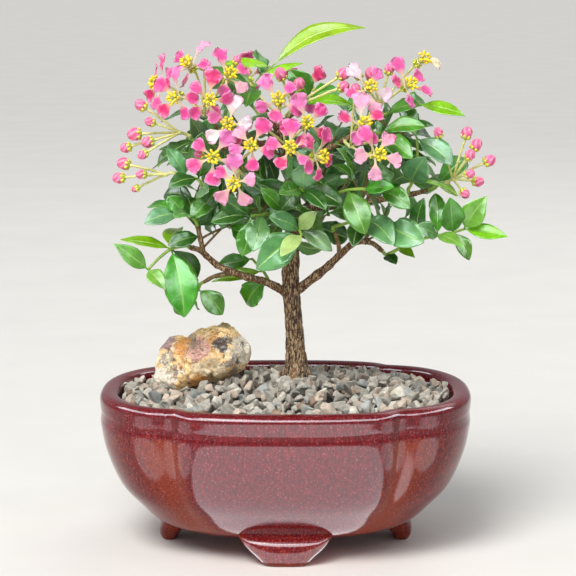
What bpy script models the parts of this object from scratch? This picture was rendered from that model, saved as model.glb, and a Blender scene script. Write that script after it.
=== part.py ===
"""A flowering Barbados cherry bonsai in its glazed four-lobed pot.

Everything is worked out in millimetres, with the pot's centre at x = y = 0, the soles of its
feet at z = 0 and the front of the tree towards -Y. The last step turns the meshes into metres
and moves them so that the origin lies under the middle of the whole plant.
"""
import math
import random

import bmesh
import bpy
from mathutils import Matrix, Quaternion, Vector, noise
from mathutils.bvhtree import BVHTree
from mathutils.geometry import delaunay_2d_cdt

NAME = "barbados_cherry_bonsai"
SEED = 7
METRES = 0.001
GAP = 0.3
FRONT = Vector((0, -1, 0.15))

# Pot: half width, half depth, how square the oval is, and where its creases lie
POT_HALF_WIDTH = 82.5
POT_HALF_DEPTH = 65.0
POT_FULLNESS = 2.5
CREASE_AT = math.radians(55.8)
CREASE_DEPTH = 0.075
CREASE_POWER = 5
LOBE_STEPS = 8
POT_FLOOR = 15.5
# Height, share of the rim's outline, millimetres cut from its radius, share of the crease
POT_WALL = (
    (10.0, 0.63, 0.0, 0.2), (13.0, 0.71, 0.0, 0.3), (20.0, 0.80, 0.0, 0.5),
    (29.0, 0.895, 0.0, 0.7), (43.0, 0.967, 0.0, 0.85), (60.0, 1.0, 0.0, 1.0),
    (66.5, 1.0, 0.8, 1.0), (69.0, 1.0, 3.2, 1.0), (69.0, 1.0, 6.2, 1.0), (66.0, 1.0, 8.6, 1.0),
)
POT_LINING = (
    (60.0, 1.0, 8.0, 1.0), (43.0, 0.967, 6.5, 0.85), (29.0, 0.895, 6.5, 0.7),
    (20.0, 0.80, 6.5, 0.5), (POT_FLOOR, 0.72, 7.5, 0.3),
)
DRAIN_RADIUS = 9.0

# Feet: height, half width along the pot's wall, and reach outward and inward across it
FOOT_SECTIONS = (
    (0.0, 8.8, 3.6, 3.4), (2.5, 11.0, 4.7, 3.9), (6.0, 15.0, 5.2, 6.0), (9.5, 18.6, 4.4, 9.5),
    (12.8, 20.6, 0.8, 11.0), (15.0, 20.0, -2.0, 6.0),
)
FOOT_SIDES = 12
# Where each foot stands, its turn and its size
FEET = ((0, -47.5, 0, 1.0), (0, 47.5, 180, 1.0), (-52, 0, -90, 0.8), (52, 0, 90, 0.8))

# Drain screen over the hole: side, bar grid and thickness
SCREEN_SIDE = 26.0
SCREEN_CELLS = 5
SCREEN_THICKNESS = 0.8

# Soil and gravel: share of the pot's lining and height, from the wall to the trunk
SOIL_LEVELS = (17.2, 24.0, 40.0, 60.5)
SOIL_TOP = ((1.0, SOIL_LEVELS[-1]), (0.6, 63.0), (0.2, 66.5))
RIM_LEVEL = 63.0
MOUND_EDGE = 65.0
MOUND_RISE = 8.5
STONE_PITCH = 8.6
STONE_JITTER = 1.7
STONE_HEIGHT = (1.4, 3.6)
STONE_SINK = 0.9

# Rock: centre, its reach in the front view at equal steps round from +X over +Z, its half
# depth, and bumps given as direction, height in mm and sharpness
ROCK_CENTRE = Vector((-37.5, 5, 80.5))
ROCK_OUTLINE = (21.0, 20.8, 19.6, 17.2, 13.7, 12.0, 14.2, 18.6, 20.4, 21.8, 20.2, 15.2, 13.6, 13.0, 14.0, 17.0)
ROCK_HALF_DEPTH = 13.0
ROCK_BUMPS = (
    (Vector((-0.2, -0.7, 0.6)), -1.8, 9.0), (Vector((0.3, -0.9, 0.15)), 1.2, 8.0),
    (Vector((-0.7, -0.7, -0.3)), 1.2, 8.0), (Vector((0.6, -0.75, -0.4)), -1.4, 9.0),
)
ROCK_ROUGHNESS = 1.5
ROCK_GRAIN = 2.1

# Wood: the points of each branch as x, y, z and radius, from its root inside its parent
BRANCH_SIDES = ((3.5, 3), (1.8, 1), (0, 0))
WOOD = {
    "trunk": ((5, 2, 44, 4.6), (5, 2, 66, 5.6), (5, 2, 72, 7.0), (4.8, 2, 79, 5.2), (3.8, 2, 95, 4.1),
              (2.4, 2, 113, 4.0), (2.4, 2, 125, 3.9), (2.9, 2, 137, 3.3), (4.4, 2, 148, 2.8),
              (3, 2, 164, 2.2), (-1, 3, 178, 1.7), (-7, 2, 189, 1.4), (-12, 1, 197, 1.1)),
    "left": ((1, 1, 110.5, 2.2), (-7.7, -2, 116, 1.8), (-20, -5, 120, 1.6), (-30, -6, 124.5, 1.5),
             (-37, -8, 131, 1.3), (-42, -10, 133, 1.1)),
    "left_fork": ((-22, -5, 121, 1.2), (-31, -2, 119, 1.0), (-36, 1, 116, 0.9)),
    "left_rise": ((-36, -8, 130, 1.2), (-37.5, -10, 138, 1.1), (-38.5, -12, 142.5, 1.0)),
    "left_mid": ((3, 2, 150, 1.8), (-5, -5, 157, 1.5), (-20, -10, 159, 1.3), (-32, -13, 155, 1.1)),
    "left_high": ((-1, 3, 176, 1.4), (-14, -1, 178, 1.2), (-27, -3, 176, 1.1), (-33, -5, 175, 1.0)),
    "left_top": ((-19, -2, 177, 1.1), (-28, -4, 183, 1.0), (-32, -6, 188, 0.9)),
    "right": ((4, 2, 111, 2.3), (17.5, -3, 122.5, 1.9), (24, -5, 129, 1.6), (30.5, -8, 134.8, 1.5),
              (37.5, -10, 135, 1.2), (42.5, -12, 131.5, 1.0)),
    "right_rise": ((24, -5, 128.5, 1.1), (23, -7, 135, 1.0), (21.5, -8, 139.5, 0.9)),
    "right_mid": ((4, 2, 146, 2.0), (14, -4, 150, 1.7), (28, -8, 152, 1.5), (41, -10, 154, 1.3),
                  (54, -9, 156, 1.2), (62, -8, 158, 1.0)),
    "right_high": ((2.5, 2, 166, 1.6), (14, -2, 173, 1.4), (26, -6, 180, 1.2), (36, -8, 187, 1.1),
                   (40, -9, 190, 1.0)),
    "front_low_right": ((3, 1, 139, 1.5), (4, -7, 141, 1.2), (5, -14, 142, 1.0)),
    "front_low_left": ((3, 1, 142, 1.5), (-2, -7, 146, 1.2), (-7, -13, 148, 1.0)),
    "front_mid": ((4.2, 1, 150, 1.5), (4.5, -7, 155, 1.2), (5, -13, 158, 1.0)),
    "front_high": ((1.5, 2, 170, 1.4), (1, -6, 175, 1.2), (0, -13, 178, 1.0)),
    "top_right": ((-4, 2.5, 184, 1.2), (1, -1, 189, 1.1), (5, -4, 192, 1.0)),
    "back_low": ((2.5, 3, 136, 1.8), (6, 14, 144, 1.5), (12, 27, 150, 1.2), (16, 35, 153, 1.0)),
    "back_left": ((3.6, 3, 154, 1.6), (-10, 14, 161, 1.3), (-22, 27, 166, 1.1), (-27, 33, 168, 1.0)),
    "back_right": ((3, 3, 160, 1.5), (15, 14, 170, 1.2), (26, 26, 177, 1.0)),
    "back_top": ((0, 3, 174, 1.3), (-7, 13, 182, 1.1), (-11, 21, 187, 1.0)),
}
ROOT_POINTS = 4

# Leafy shoots: what each grows from and where along it (None is its tip), the shoot's own
# points, its leaves (place along the shoot, tip, width, turn of the face up from the front)
# and how many more leaves fill its inner side
SHOOT_RADIUS = 0.85
SHOOTS = {
    "left_low": ("left", None, ((-50, -12, 132.5), (-55, -14, 129), (-60, -16, 124)), (
        (2, (-72, -16, 137), 8, 50), (4, (-73, -21, 138), 10, 20), (4, (-52, -25, 117), 9, 20),
        (2, (-44, -22, 104), 15.5, 10), (2, (-38, -3, 118), 9, 20), (2, (-48, 12, 139), 11, 30)), 0),
    "left_under": ("left_fork", None, ((-39, 4, 112), (-41, 7, 109)), (
        (2, (-28, 2, 101), 10, 10), (3, (-50, 8, 101), 10, 20), (3, (-42, 22, 104), 10, 20)), 0),
    "trunk_left": ("left", 1, ((-10, 6, 120), (-15, 10, 125)), (
        (1, (-18, 9, 104), 11.5, 10), (2, (-33, 5, 116), 8, 30), (3, (-30, 6, 123), 8, 20)), 0),
    "left_mid_leaves": ("left_rise", None, ((-41, -12, 146.5), (-45, -12, 148)), (
        (3, (-61, -20, 145), 9, 35), (3, (-61, 2, 150), 9, 60), (2, (-47, -30, 149), 9, 55),
        (3, (-51, -14, 156), 8, 20)), 0),
    "left_high_leaves": ("left_mid", None, ((-36, -14, 159), (-38, -15, 163.5), (-47, -12, 165.5)), (
        (2, (-33, -30, 160), 11, 10), (3, (-50, -24, 162), 8, 40), (3, (-35, -27, 183), 13, 0),
        (3.6, (-51, -14, 177), 8, 30)), 0),
    "upper_left_leaves": ("left_high", None, ((-37, -6, 179), (-41, -5, 181)), (
        (1.6, (-41, -16, 190), 8, 10), (2, (-32, -13, 190), 7, 10), (2.6, (-60, 5, 180), 9, 50),
        (2.4, (-58, -6, 174), 9, 55)), 0),
    "front_left_leaves": ("front_low_left", None, ((-10, -19, 148.5), (-15, -23, 148.5)), (
        (2, (-14, -30, 134), 11, 5), (3, (-22, -28, 133), 10, 5), (3, (-32, -26, 146), 9, 40)), 0),
    "front_low_leaves": ("front_low_right", None, ((6, -20, 142), (7, -26, 140.5)), (
        (3, (-12, -37, 128), 15, 5), (2, (-7, -30, 149), 9, 20), (2, (13, -29, 151), 7, 10),
        (3, (-2, -42, 134), 7, 20), (2, (20, -26, 134), 8, 10)), 0),
    "front_mid_leaves": ("front_mid", None, ((6, -20, 160), (8, -27, 160)), (
        (3, (17, -41, 154), 8, 20), (2, (25, -28, 154), 11, 30), (3, (9, -31, 172), 12, 10),
        (2, (-2, -34, 160), 9, 20), (2, (-2, -22, 151), 9, 10)), 0),
    "right_front_leaves": ("right_mid", 1.6, (
        (22, -16, 157), (27, -25, 160), (34, -30, 161), (40, -31, 160)), (
        (3, (34, -36, 143), 12, 5), (4, (46, -42, 163), 8, 30), (5, (40, -38, 171), 9, 10),
        (5, (53, -38, 154), 9, 20)), 0),
    "right_centre_leaves": ("right_rise", None, ((24, -11, 143), (34, -16, 146), (44, -23, 145)), (
        (3, (46, -35, 138), 12, 10), (4, (59, -37, 139), 14, 10), (3, (29, -30, 136), 8, 20)), 0),
    "far_right_leaves": ("right", None, (
        (50, -13, 133), (58, -15, 137), (66, -16, 139), (73, -13, 140), (78, -10, 141)), (
        (1, (48, -21, 127), 6, 20), (2, (56, -22, 130), 6, 30), (4, (57, -27, 145), 8, 30),
        (4, (76, -30, 136), 8, 30), (3, (61, -24, 154), 8, 30), (4, (66, -9, 157), 9, 20),
        (5, (71, -24, 156), 11, 5), (6, (87, -15, 156), 13, 10), (6, (97, -13, 138), 9, 25),
        (5, (80, -19, 129), 7, 10)), 0),
    "right_edge_leaves": ("right_mid", 4, ((55, -13, 162), (57, -15, 172), (57, -14, 181)), (
        (2, (76, -18, 157), 9, 70), (2, (60, -28, 175), 13, 5), (4, (73, -22, 173), 11, 15),
        (4, (49, -6, 195), 9, 20)), 0),
    "right_tip_leaves": ("right_mid", None, ((66, -8, 160), (69, -8, 161)), (
        (2, (85, 2, 171), 10, 25), (2, (76, 6, 154), 9, 40)), 0),
    "upper_right_leaves": ("right_high", 3, ((38, -15, 184), (41, -20, 184)), (
        (3, (60, -24, 187), 8, 35), (3, (54, -33, 174), 10, 20)), 0),
    "top_right_leaves": ("right_high", None, ((44, -9, 191.5), (51, -7, 194), (58, -6, 195)), (
        (2, (58, -16, 196), 8, 40), (4, (78, -10, 191), 9, 45), (3, (62, 10, 194), 9, 40)), 0),
    "top_leaves": ("top_right", None, ((8, -6, 195), (10, -7, 197)), (
        (2, (30, -14, 196), 9, 50), (3, (-1, -12, 208), 11, 10), (3, (24, 3, 201), 9, 40)), 0),
    "leader_leaves": ("trunk", None, ((-14, -1, 202), (-11, -1, 207), (-6, 0, 211)), (
        (2, (-36, -12, 211), 10, 50), (2, (-17, -17, 196), 10, 10), (2, (7, -10, 214), 9, 55),
        (4, (33, -6, 231), 12.5, 48), (4, (-28, -4, 212), 9, 55), (3, (-12, 15, 216), 9, 40)), 0),
    "back_low_leaves": ("back_low", None, ((20, 40, 153), (26, 43, 156), (30, 48, 154)), (), 6),
    "back_left_leaves": ("back_left", None, ((-34, 36, 167), (-41, 34, 170), (-47, 36, 170)), (), 6),
    "back_right_leaves": ("back_right", None, ((33, 30, 178), (41, 27, 180), (50, 25, 182)), (), 6),
    "back_top_leaves": ("back_top", None, ((-14, 26, 191), (-18, 24, 196), (-14, 22, 202)), (), 6),
    "inner_left_leaves": ("left_high", 1.5, (
        (-23, 5, 176), (-29, 10, 175), (-37, 13, 172), (-44, 13, 169)), (), 10),
    "inner_right_leaves": ("right_mid", 3.3, (
        (45, -1, 160), (49, 6, 167), (48, 11, 175), (43, 13, 182)), (), 12),
}
# Rows of a blade: share of its length, share of its width
LARGE_BLADE = ((0.24, 0.74), (0.54, 1.0), (0.82, 0.68))
SMALL_BLADE = ((0.34, 0.92), (0.72, 0.86))
LARGE_WIDTH = 11.0
BLADE_THICKNESS = 0.7
BLADE_FOLD = 0.22
BLADE_ARCH = 0.09
FILL_LENGTH = (15.0, 21.0)
FILL_SHARE = 0.5
FILL_TRIES = 14
OUTER_SHARE = 0.3
CROWN_CENTRE = Vector((2, 4, 166))

# Flower stems: what each umbel grows from, the point where its stalks part, the buds that it
# holds as (centre, size)
STALK_RADIUS = 0.55
UMBELS = {
    "upper_left_stems": ("left_top", None, (-35, -9, 191), (
        ((-35, -12, 213), 1.0), ((-21, -12, 215), 0.8))),
    "left_stems": ("upper_left_leaves", None, (-46, -6, 183), (
        ((-63, -6, 195), 1.1), ((-59, -9, 188), 0.9), ((-66, -3, 182), 1.3), ((-60, -8, 179), 1.1),
        ((-70, -2, 176), 1.0), ((-62, -13, 174), 0.9))),
    "left_low_stems": ("left_high_leaves", None, (-52, -9, 165), (
        ((-71, -2, 169), 1.2), ((-73, -5, 163), 1.1), ((-63, -9, 165), 0.9), ((-66, -3, 158), 0.7))),
    "front_left_stems": ("left_mid", 1.8, (-22, -19, 170), (((-37, -30, 176), 0.8),)),
    "front_stems": ("front_high", None, (0, -19, 179), (((-10, -31, 188), 0.8),)),
    "right_front_stems": ("right_high", 2, (28, -17, 178), (
        ((30, -22, 203), 1.0), ((45, -34, 183), 0.9))),
    "top_stems": ("top_right", 1.4, (3, -10, 194), (
        ((-2, -15, 209), 1.2), ((6, -17, 205), 1.1), ((25, -14, 209), 1.2), ((25, -19, 204), 1.0))),
    "upper_right_stems": ("right_high", 3.6, (41, -8, 195), (
        ((37, -14, 209), 1.2), ((45, -10, 211), 1.0), ((31, -17, 209), 0.9))),
    "right_stems": ("right_tip_leaves", None, (73, -9, 163), (
        ((79, -8, 183), 1.1), ((83, -10, 178), 1.1), ((80, -14, 174), 1.0), ((89, -8, 171), 1.1),
        ((80, -16, 166), 0.9), ((84, -10, 162), 1.0), ((78, -13, 157), 0.9), ((66, -17, 184), 0.9))),
    "back_stems": ("back_top", 1.2, (-5, 19, 190), (((4, 26, 203), 1.0), ((-2, 36, 194), 0.9))),
}
BUD_RADIUS = 2.2
NODE_SIZE = 0.6

# Blooms: the umbel that holds each, its centre, its roll and, where it doesn't face the front,
# its facing
BLOOMS = {
    "bloom_a": ("front_left_stems", (-24, -28, 188), 77, (-0.1, -1, 0.3)),
    "bloom_b": ("front_left_stems", (-14, -36, 180), 60, (-0.2, -1, 0.2)),
    "bloom_e": ("front_left_stems", (-31, -33, 175), 200, (0.1, -1, 0.1)),
    "bloom_f": ("front_left_stems", (-21, -39, 165), 10, None),
    "bloom_c": ("front_stems", (2, -42, 179), 95, (0, -0.9, 0.4)),
    "bloom_d": ("front_stems", (-3, -25, 198), 120, None),
    "bloom_g": ("front_stems", (9, -32, 189), 42, None),
    "bloom_h": ("front_stems", (13, -42, 176), 330, (0.8, -0.55, 0.1)),
    "bloom_i": ("right_front_stems", (32, -34, 189), 87, None),
    "bloom_j": ("right_front_stems", (38, -41, 177), 43, None),
    "bloom_k": ("upper_right_stems", (35, -22, 203), 106, (0.4, -0.8, 0.45)),
    "bloom_l": ("upper_right_stems", (52, -17, 204), 106, None),
    "bloom_m": ("upper_right_stems", (58, -10, 214), 345, None),
    "bloom_n": ("upper_left_stems", (-41, -11, 212), 72, (-0.5, -0.65, 0.6)),
    "bloom_o": ("upper_left_stems", (-54, -5, 204), 213, (-0.9, -0.5, 0.3)),
    "bloom_p": ("upper_left_stems", (-46, -23, 200), 222, (-0.6, -1, -0.1)),
    "bloom_q": ("upper_left_stems", (-33, -30, 199), 217, (0.3, -1, 0.1)),
    "bloom_r": ("upper_left_stems", (-25, -19, 208), 95, (0.4, -0.75, 0.55)),
    "bloom_s": ("back_stems", (-17, 33, 204), 90, (-0.3, 0.8, 0.6)),
    "bloom_t": ("back_stems", (9, 33, 198), 54, (0.4, 1, 0.4)),
}
SPENT_BLOOM = "bloom_m"
PETALS = 5
# Rows of a petal: radius, width, height above the bloom's plane
PETAL_ROWS = ((2.0, 1.3, 0.0), (7.4, 7.4, 1.7), (10.4, 4.8, 1.2))
PETAL_THICKNESS = 0.75
PETAL_RING_RADIUS = 1.35
# Rings of the flower's middle, from stalk to ovary: distance along it and radius
FLOWER_CORE = ((-4.4, 0.5), (-2.3, 2.0), (-0.9, 0.75), (1.2, 0.9))
CORE_SIDES = 5
# Tips of the stamens, which are joined at their roots: radius and height, and the hollow's height
STAMEN_TIP = (2.3, 4.6)
STAMEN_HOLLOW = 1.9

COLOURS = {
    "pot": ("5c0f18", 0.2), "soil": ("3a2a1e", 0.95), "gravel": ("a9a59a", 0.9),
    "rock": ("d9a24a", 0.85), "wood": ("5a3f2b", 0.9), "screen": ("1c1c1c", 0.6),
    "leaf": ("3f8a2c", 0.4), "stem": ("b8c85a", 0.5), "petal": ("f05fa5", 0.6),
}


def clear_scene():
    """Remove whatever the scene holds."""
    for thing in list(bpy.data.objects):
        bpy.data.objects.remove(thing, do_unlink=True)


def make_material(name):
    """A plain glossy or matt surface in the named colour."""
    code, roughness = COLOURS[name]
    channels = [int(code[i:i + 2], 16) / 255 for i in (0, 2, 4)]
    linear = [c / 12.92 if c <= 0.04045 else ((c + 0.055) / 1.055) ** 2.4 for c in channels]
    material = bpy.data.materials.new(name)
    material.use_nodes = True
    shader = material.node_tree.nodes["Principled BSDF"]
    shader.inputs["Base Color"].default_value = (*linear, 1)
    shader.inputs["Roughness"].default_value = roughness
    material.diffuse_color = (*linear, 1)
    return material


def place(name, shape, collection):
    """Turn a bmesh into an object."""
    bmesh.ops.recalc_face_normals(shape, faces=shape.faces)
    mesh = bpy.data.meshes.new(name)
    shape.to_mesh(mesh)
    shape.free()
    thing = bpy.data.objects.new(name, mesh)
    collection.objects.link(thing)
    return thing


def boolean(thing, operation, operand, solver):
    """Apply one Boolean with an object or a collection, which is then removed."""
    modifier = thing.modifiers.new(operation, "BOOLEAN")
    modifier.operation = operation
    modifier.solver = solver
    if isinstance(operand, bpy.types.Collection):
        modifier.operand_type = "COLLECTION"
        modifier.collection = operand
    else:
        modifier.object = operand
    mesh = bpy.data.meshes.new_from_object(thing.evaluated_get(bpy.context.evaluated_depsgraph_get()))
    thing.modifiers.clear()
    old = thing.data
    thing.data = mesh
    bpy.data.meshes.remove(old)
    mesh.name = thing.name


def cut(thing, cutter):
    """Take one closed body out of another."""
    boolean(thing, "DIFFERENCE", cutter, "EXACT")
    bpy.data.objects.remove(cutter, do_unlink=True)


def fuse(name, shapes, collection):
    """Join overlapping closed bodies into one object."""
    thing = place(name, shapes[0], collection)
    pieces = bpy.data.collections.new(name + "_pieces")
    bpy.context.scene.collection.children.link(pieces)
    for shape in shapes[1:]:
        place("piece", shape, pieces)
    boolean(thing, "UNION", pieces, "MANIFOLD")
    for piece in list(pieces.objects):
        bpy.data.objects.remove(piece, do_unlink=True)
    bpy.data.collections.remove(pieces)
    return thing


def loft(rings, capped=True):
    """A body through rings of equal count, capped at its start and, unless told not, its end."""
    shape = bmesh.new()
    loops = [[shape.verts.new(point) for point in ring] for ring in rings]
    for lower, upper in zip(loops, loops[1:]):
        for index, corner in enumerate(lower):
            after = (index + 1) % len(lower)
            shape.faces.new((corner, lower[after], upper[after], upper[index]))
    shape.faces.new(reversed(loops[0]))
    if capped:
        shape.faces.new(loops[-1])
    return shape


def thicken(shape, along, thickness):
    """Give an open surface its thickness in one direction, half to each side."""
    faces = list(shape.faces)
    raised = bmesh.ops.extrude_face_region(shape, geom=faces, use_keep_orig=True)
    upper = [part for part in raised["geom"] if isinstance(part, bmesh.types.BMVert)]
    bmesh.ops.translate(shape, verts=upper, vec=along * thickness)
    bmesh.ops.translate(shape, verts=shape.verts, vec=along * -thickness / 2)
    return shape


def tube(points, bevel):
    """A round tube through points given as x, y, z and radius, as a bmesh."""
    curve = bpy.data.curves.new("tube", "CURVE")
    curve.dimensions = "3D"
    curve.bevel_depth = 1
    curve.bevel_resolution = bevel
    curve.use_fill_caps = True
    spline = curve.splines.new("POLY")
    spline.points.add(len(points) - 1)
    for knot, point in zip(spline.points, points):
        knot.co = (*point[:3], 1)
        knot.radius = point[3]
    thing = bpy.data.objects.new("tube", curve)
    bpy.context.scene.collection.objects.link(thing)
    mesh = bpy.data.meshes.new_from_object(thing.evaluated_get(bpy.context.evaluated_depsgraph_get()))
    shape = bmesh.new()
    shape.from_mesh(mesh)
    bmesh.ops.remove_doubles(shape, verts=shape.verts, dist=0.0001)
    bpy.data.objects.remove(thing, do_unlink=True)
    bpy.data.curves.remove(curve)
    bpy.data.meshes.remove(mesh)
    return shape


def along_path(points, position):
    """The point of a path at a place counted in its own points."""
    index = min(int(position), len(points) - 2)
    return points[index].lerp(points[index + 1], position - index)


def seat(paths, parent, position, target):
    """Where a shoot starts on its parent, clear of its bark, and the way that it sets off."""
    points, radii = paths[parent]
    if position is None:
        way = (points[-1] - points[-2]).normalized()
        return points[-1] + way * GAP * 1.2, way
    index = min(int(position), len(points) - 2)
    root = along_path(points, position)
    grain = (points[index + 1] - points[index]).normalized()
    way = (target - root) - grain * (target - root).dot(grain)
    way.normalize()
    radius = max(radii[index], radii[index + 1])
    return root + way * (radius + GAP * 1.5), way


def shoot_path(paths, parent, position, points):
    """A shoot's whole path, from its seat on the parent through its own points."""
    points = [Vector(point) for point in points]
    start, way = seat(paths, parent, position, points[0])
    return [start, start + way * 2] + points


def outline(scale, inset, crease):
    """The pot's four-lobed outline, as shares of the rim and millimetres off its radius."""
    corners = (-CREASE_AT, CREASE_AT, math.pi - CREASE_AT, math.pi + CREASE_AT, 2 * math.pi - CREASE_AT)
    power = 2 / POT_FULLNESS
    points = []
    for start, end in zip(corners, corners[1:]):
        for step in range(LOBE_STEPS):
            share = step / LOBE_STEPS
            angle = start + (end - start) * share
            swell = 1 - CREASE_DEPTH * crease * abs(2 * share - 1) ** CREASE_POWER
            x = math.copysign(abs(math.cos(angle)) ** power, math.cos(angle)) * POT_HALF_WIDTH
            y = math.copysign(abs(math.sin(angle)) ** power, math.sin(angle)) * POT_HALF_DEPTH
            point = Vector((x, y, 0)) * scale * swell
            points.append(point * (1 - inset / point.length))
    return points


def level(points, height):
    """A ring of points at one height."""
    return [Vector((point.x, point.y, height)) for point in points]


def foot(x, y, turn, size):
    """One foot: an apron that widens from its flat sole and curves in under the pot's belly."""
    rings = []
    for height, half_width, outward, inward in FOOT_SECTIONS:
        ring = []
        for side in range(FOOT_SIDES):
            angle = math.tau * (side + 0.5) / FOOT_SIDES
            across = math.copysign(abs(math.cos(angle)) ** 0.7, math.cos(angle)) * half_width * size
            middle, half_depth = (inward - outward) / 2, (inward + outward) / 2
            depth = middle + math.copysign(abs(math.sin(angle)) ** 0.7, math.sin(angle)) * half_depth
            point = Vector((across, depth, 0))
            point.rotate(Quaternion((0, 0, 1), math.radians(turn)))
            ring.append(Vector((x + point.x, y + point.y, height)))
        rings.append(ring)
    return loft(rings)


def make_pot(collection):
    """The glazed pot: one ceramic body with its lip, feet and drain hole."""
    body = loft([level(outline(*row[1:]), row[0]) for row in POT_WALL + POT_LINING])
    pot = fuse("pot", [body] + [foot(*row) for row in FEET], collection)
    drill = bmesh.new()
    bmesh.ops.create_cone(drill, cap_ends=True, segments=20, radius1=DRAIN_RADIUS,
                          radius2=DRAIN_RADIUS, depth=POT_FLOOR * 2,
                          matrix=Matrix.Translation((0, 0, POT_FLOOR)))
    cut(pot, place("drill", drill, collection))
    return pot


def make_screen(collection):
    """The plastic mesh square over the drain hole."""
    shape = bmesh.new()
    bmesh.ops.create_grid(shape, x_segments=SCREEN_CELLS, y_segments=SCREEN_CELLS, size=SCREEN_SIDE / 2)
    cell = SCREEN_SIDE / SCREEN_CELLS
    holes = []
    for face in shape.faces:
        centre = face.calc_center_median()
        column = round((centre.x + SCREEN_SIDE / 2) / cell - 0.5)
        row = round((centre.y + SCREEN_SIDE / 2) / cell - 0.5)
        if column % 2 and row % 2:
            holes.append(face)
    bmesh.ops.delete(shape, geom=holes, context="FACES")
    thicken(shape, Vector((0, 0, 1)), SCREEN_THICKNESS)
    height = POT_FLOOR + GAP + SCREEN_THICKNESS / 2
    bmesh.ops.translate(shape, verts=shape.verts, vec=(0, 0, height))
    return place("drain_screen", shape, collection)


def lining(height, share, lift):
    """A ring inside the pot, clear of its wall, at one height."""
    rows = sorted(POT_LINING + POT_WALL[-1:])
    lower = max([row for row in rows if row[0] <= height] or rows[:1])
    upper = min([row for row in rows if row[0] > height] or rows[-1:])
    mix = (height - lower[0]) / (upper[0] - lower[0]) if upper[0] > lower[0] else 0
    scale, inset, crease = [a + (b - a) * mix for a, b in zip(lower[1:], upper[1:])]
    ring = outline(scale, inset + GAP, crease)
    return level([point * share for point in ring], height + lift)


def make_soil(collection):
    """The soil that fills the pot, mounded towards the trunk."""
    rings = [lining(height, 1, 0) for height in SOIL_LEVELS]
    edge = SOIL_TOP[0][1]
    for share, height in SOIL_TOP[1:]:
        rings.append(lining(edge, share, height - edge))
    return place("soil", loft(rings), collection)


def mound(x, y):
    """Height of the gravel's bed at a place in the pot."""
    reach = math.hypot(x / (POT_HALF_WIDTH - 8), y / (POT_HALF_DEPTH - 8))
    return MOUND_EDGE + MOUND_RISE * max(0, 1 - reach) ** 1.2


def stone_centres():
    """Places of the gravel's stones, on a loose triangular lattice."""
    draw = random.Random(SEED)
    rim = [point.to_2d() for point in lining(RIM_LEVEL, 1, 0)]
    centres = []
    rows = int(POT_HALF_DEPTH / STONE_PITCH / 0.866) + 1
    columns = int(POT_HALF_WIDTH / STONE_PITCH) + 1
    for row in range(-rows, rows + 1):
        for column in range(-columns, columns + 1):
            x = (column + row % 2 / 2) * STONE_PITCH + draw.uniform(-STONE_JITTER, STONE_JITTER)
            y = row * STONE_PITCH * 0.866 + draw.uniform(-STONE_JITTER, STONE_JITTER)
            height = draw.uniform(*STONE_HEIGHT)
            lobe = max(rim, key=lambda point: point.normalized().dot(Vector((x, y)).normalized()))
            if math.hypot(x, y) < lobe.length - STONE_PITCH * 0.45:
                centres.append((x, y, height))
    return centres


def make_gravel(collection):
    """The layer of angular chips, each a facetted cone that stands out of the bed."""
    rim = lining(RIM_LEVEL, 1, 0)
    stones = stone_centres()
    flat = [point.to_2d() for point in rim] + [Vector(stone[:2]) for stone in stones]
    edges = [(index, (index + 1) % len(rim)) for index in range(len(rim))]
    points, _, faces, origins, _, _ = delaunay_2d_cdt(flat, edges, [], 1, 0.0001)
    shape = bmesh.new()
    corners = []
    for point, origin in zip(points, origins):
        source = origin[0]
        height = mound(*point)
        if source >= len(rim):
            height += stones[source - len(rim)][2]
        corners.append(shape.verts.new((point.x, point.y, height)))
    for face in faces:
        shape.faces.new([corners[index] for index in face])
    inner = [edge for edge in shape.edges if len(edge.link_faces) == 2]
    hollows = bmesh.ops.poke(shape, faces=shape.faces)["verts"]
    for vert in hollows:
        vert.co.z = mound(vert.co.x, vert.co.y) - STONE_SINK
    bmesh.ops.rotate_edges(shape, edges=inner, use_ccw=False)
    close_bed(shape)
    return place("gravel", shape, collection)


def close_bed(shape):
    """Close the gravel's relief with a skirt and an underside that follows the soil."""
    open_edges = [edge for edge in shape.edges if edge.is_boundary]
    skirt = bmesh.ops.extrude_edge_only(shape, edges=open_edges)["geom"]
    verts = [part for part in skirt if isinstance(part, bmesh.types.BMVert)]
    edges = [part for part in skirt if isinstance(part, bmesh.types.BMEdge)]
    base = SOIL_TOP[0][1] + GAP
    for vert in verts:
        vert.co.z = base
    for (wider, low), (share, height) in zip(SOIL_TOP, SOIL_TOP[1:]):
        ring = bmesh.ops.extrude_edge_only(shape, edges=edges)["geom"]
        verts = [part for part in ring if isinstance(part, bmesh.types.BMVert)]
        edges = [part for part in ring if isinstance(part, bmesh.types.BMEdge)]
        for vert in verts:
            vert.co = Vector((vert.co.x * share / wider, vert.co.y * share / wider, height + GAP))
    bmesh.ops.contextual_create(shape, geom=edges)


def rock_reach(angle):
    """How far the rock reaches from its centre in the front view, smoothly round its outline."""
    place = angle / math.tau % 1 * len(ROCK_OUTLINE)
    a, b, c, d = [ROCK_OUTLINE[(int(place) + step) % len(ROCK_OUTLINE)] for step in (-1, 0, 1, 2)]
    t = place % 1
    bend = 2 * b + (c - a) * t + (2 * a - 5 * b + 4 * c - d) * t * t
    return (bend + (3 * b - a - 3 * c + d) * t ** 3) / 2


def rock_point(direction, grow):
    """The rock's surface in one direction from its centre."""
    level = Vector((direction.x, 0, direction.z))
    flat = level.normalized() * level.length ** 0.8 * rock_reach(math.atan2(direction.z, direction.x))
    deep = math.copysign(abs(direction.y) ** 0.8, direction.y) * ROCK_HALF_DEPTH
    point = flat + Vector((0, deep, 0))
    swell = noise.noise(direction * ROCK_GRAIN) * ROCK_ROUGHNESS + grow
    for way, height, sharpness in ROCK_BUMPS:
        swell += height * math.exp(sharpness * (direction.dot(way.normalized()) - 1))
    return ROCK_CENTRE + point + direction * swell


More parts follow.
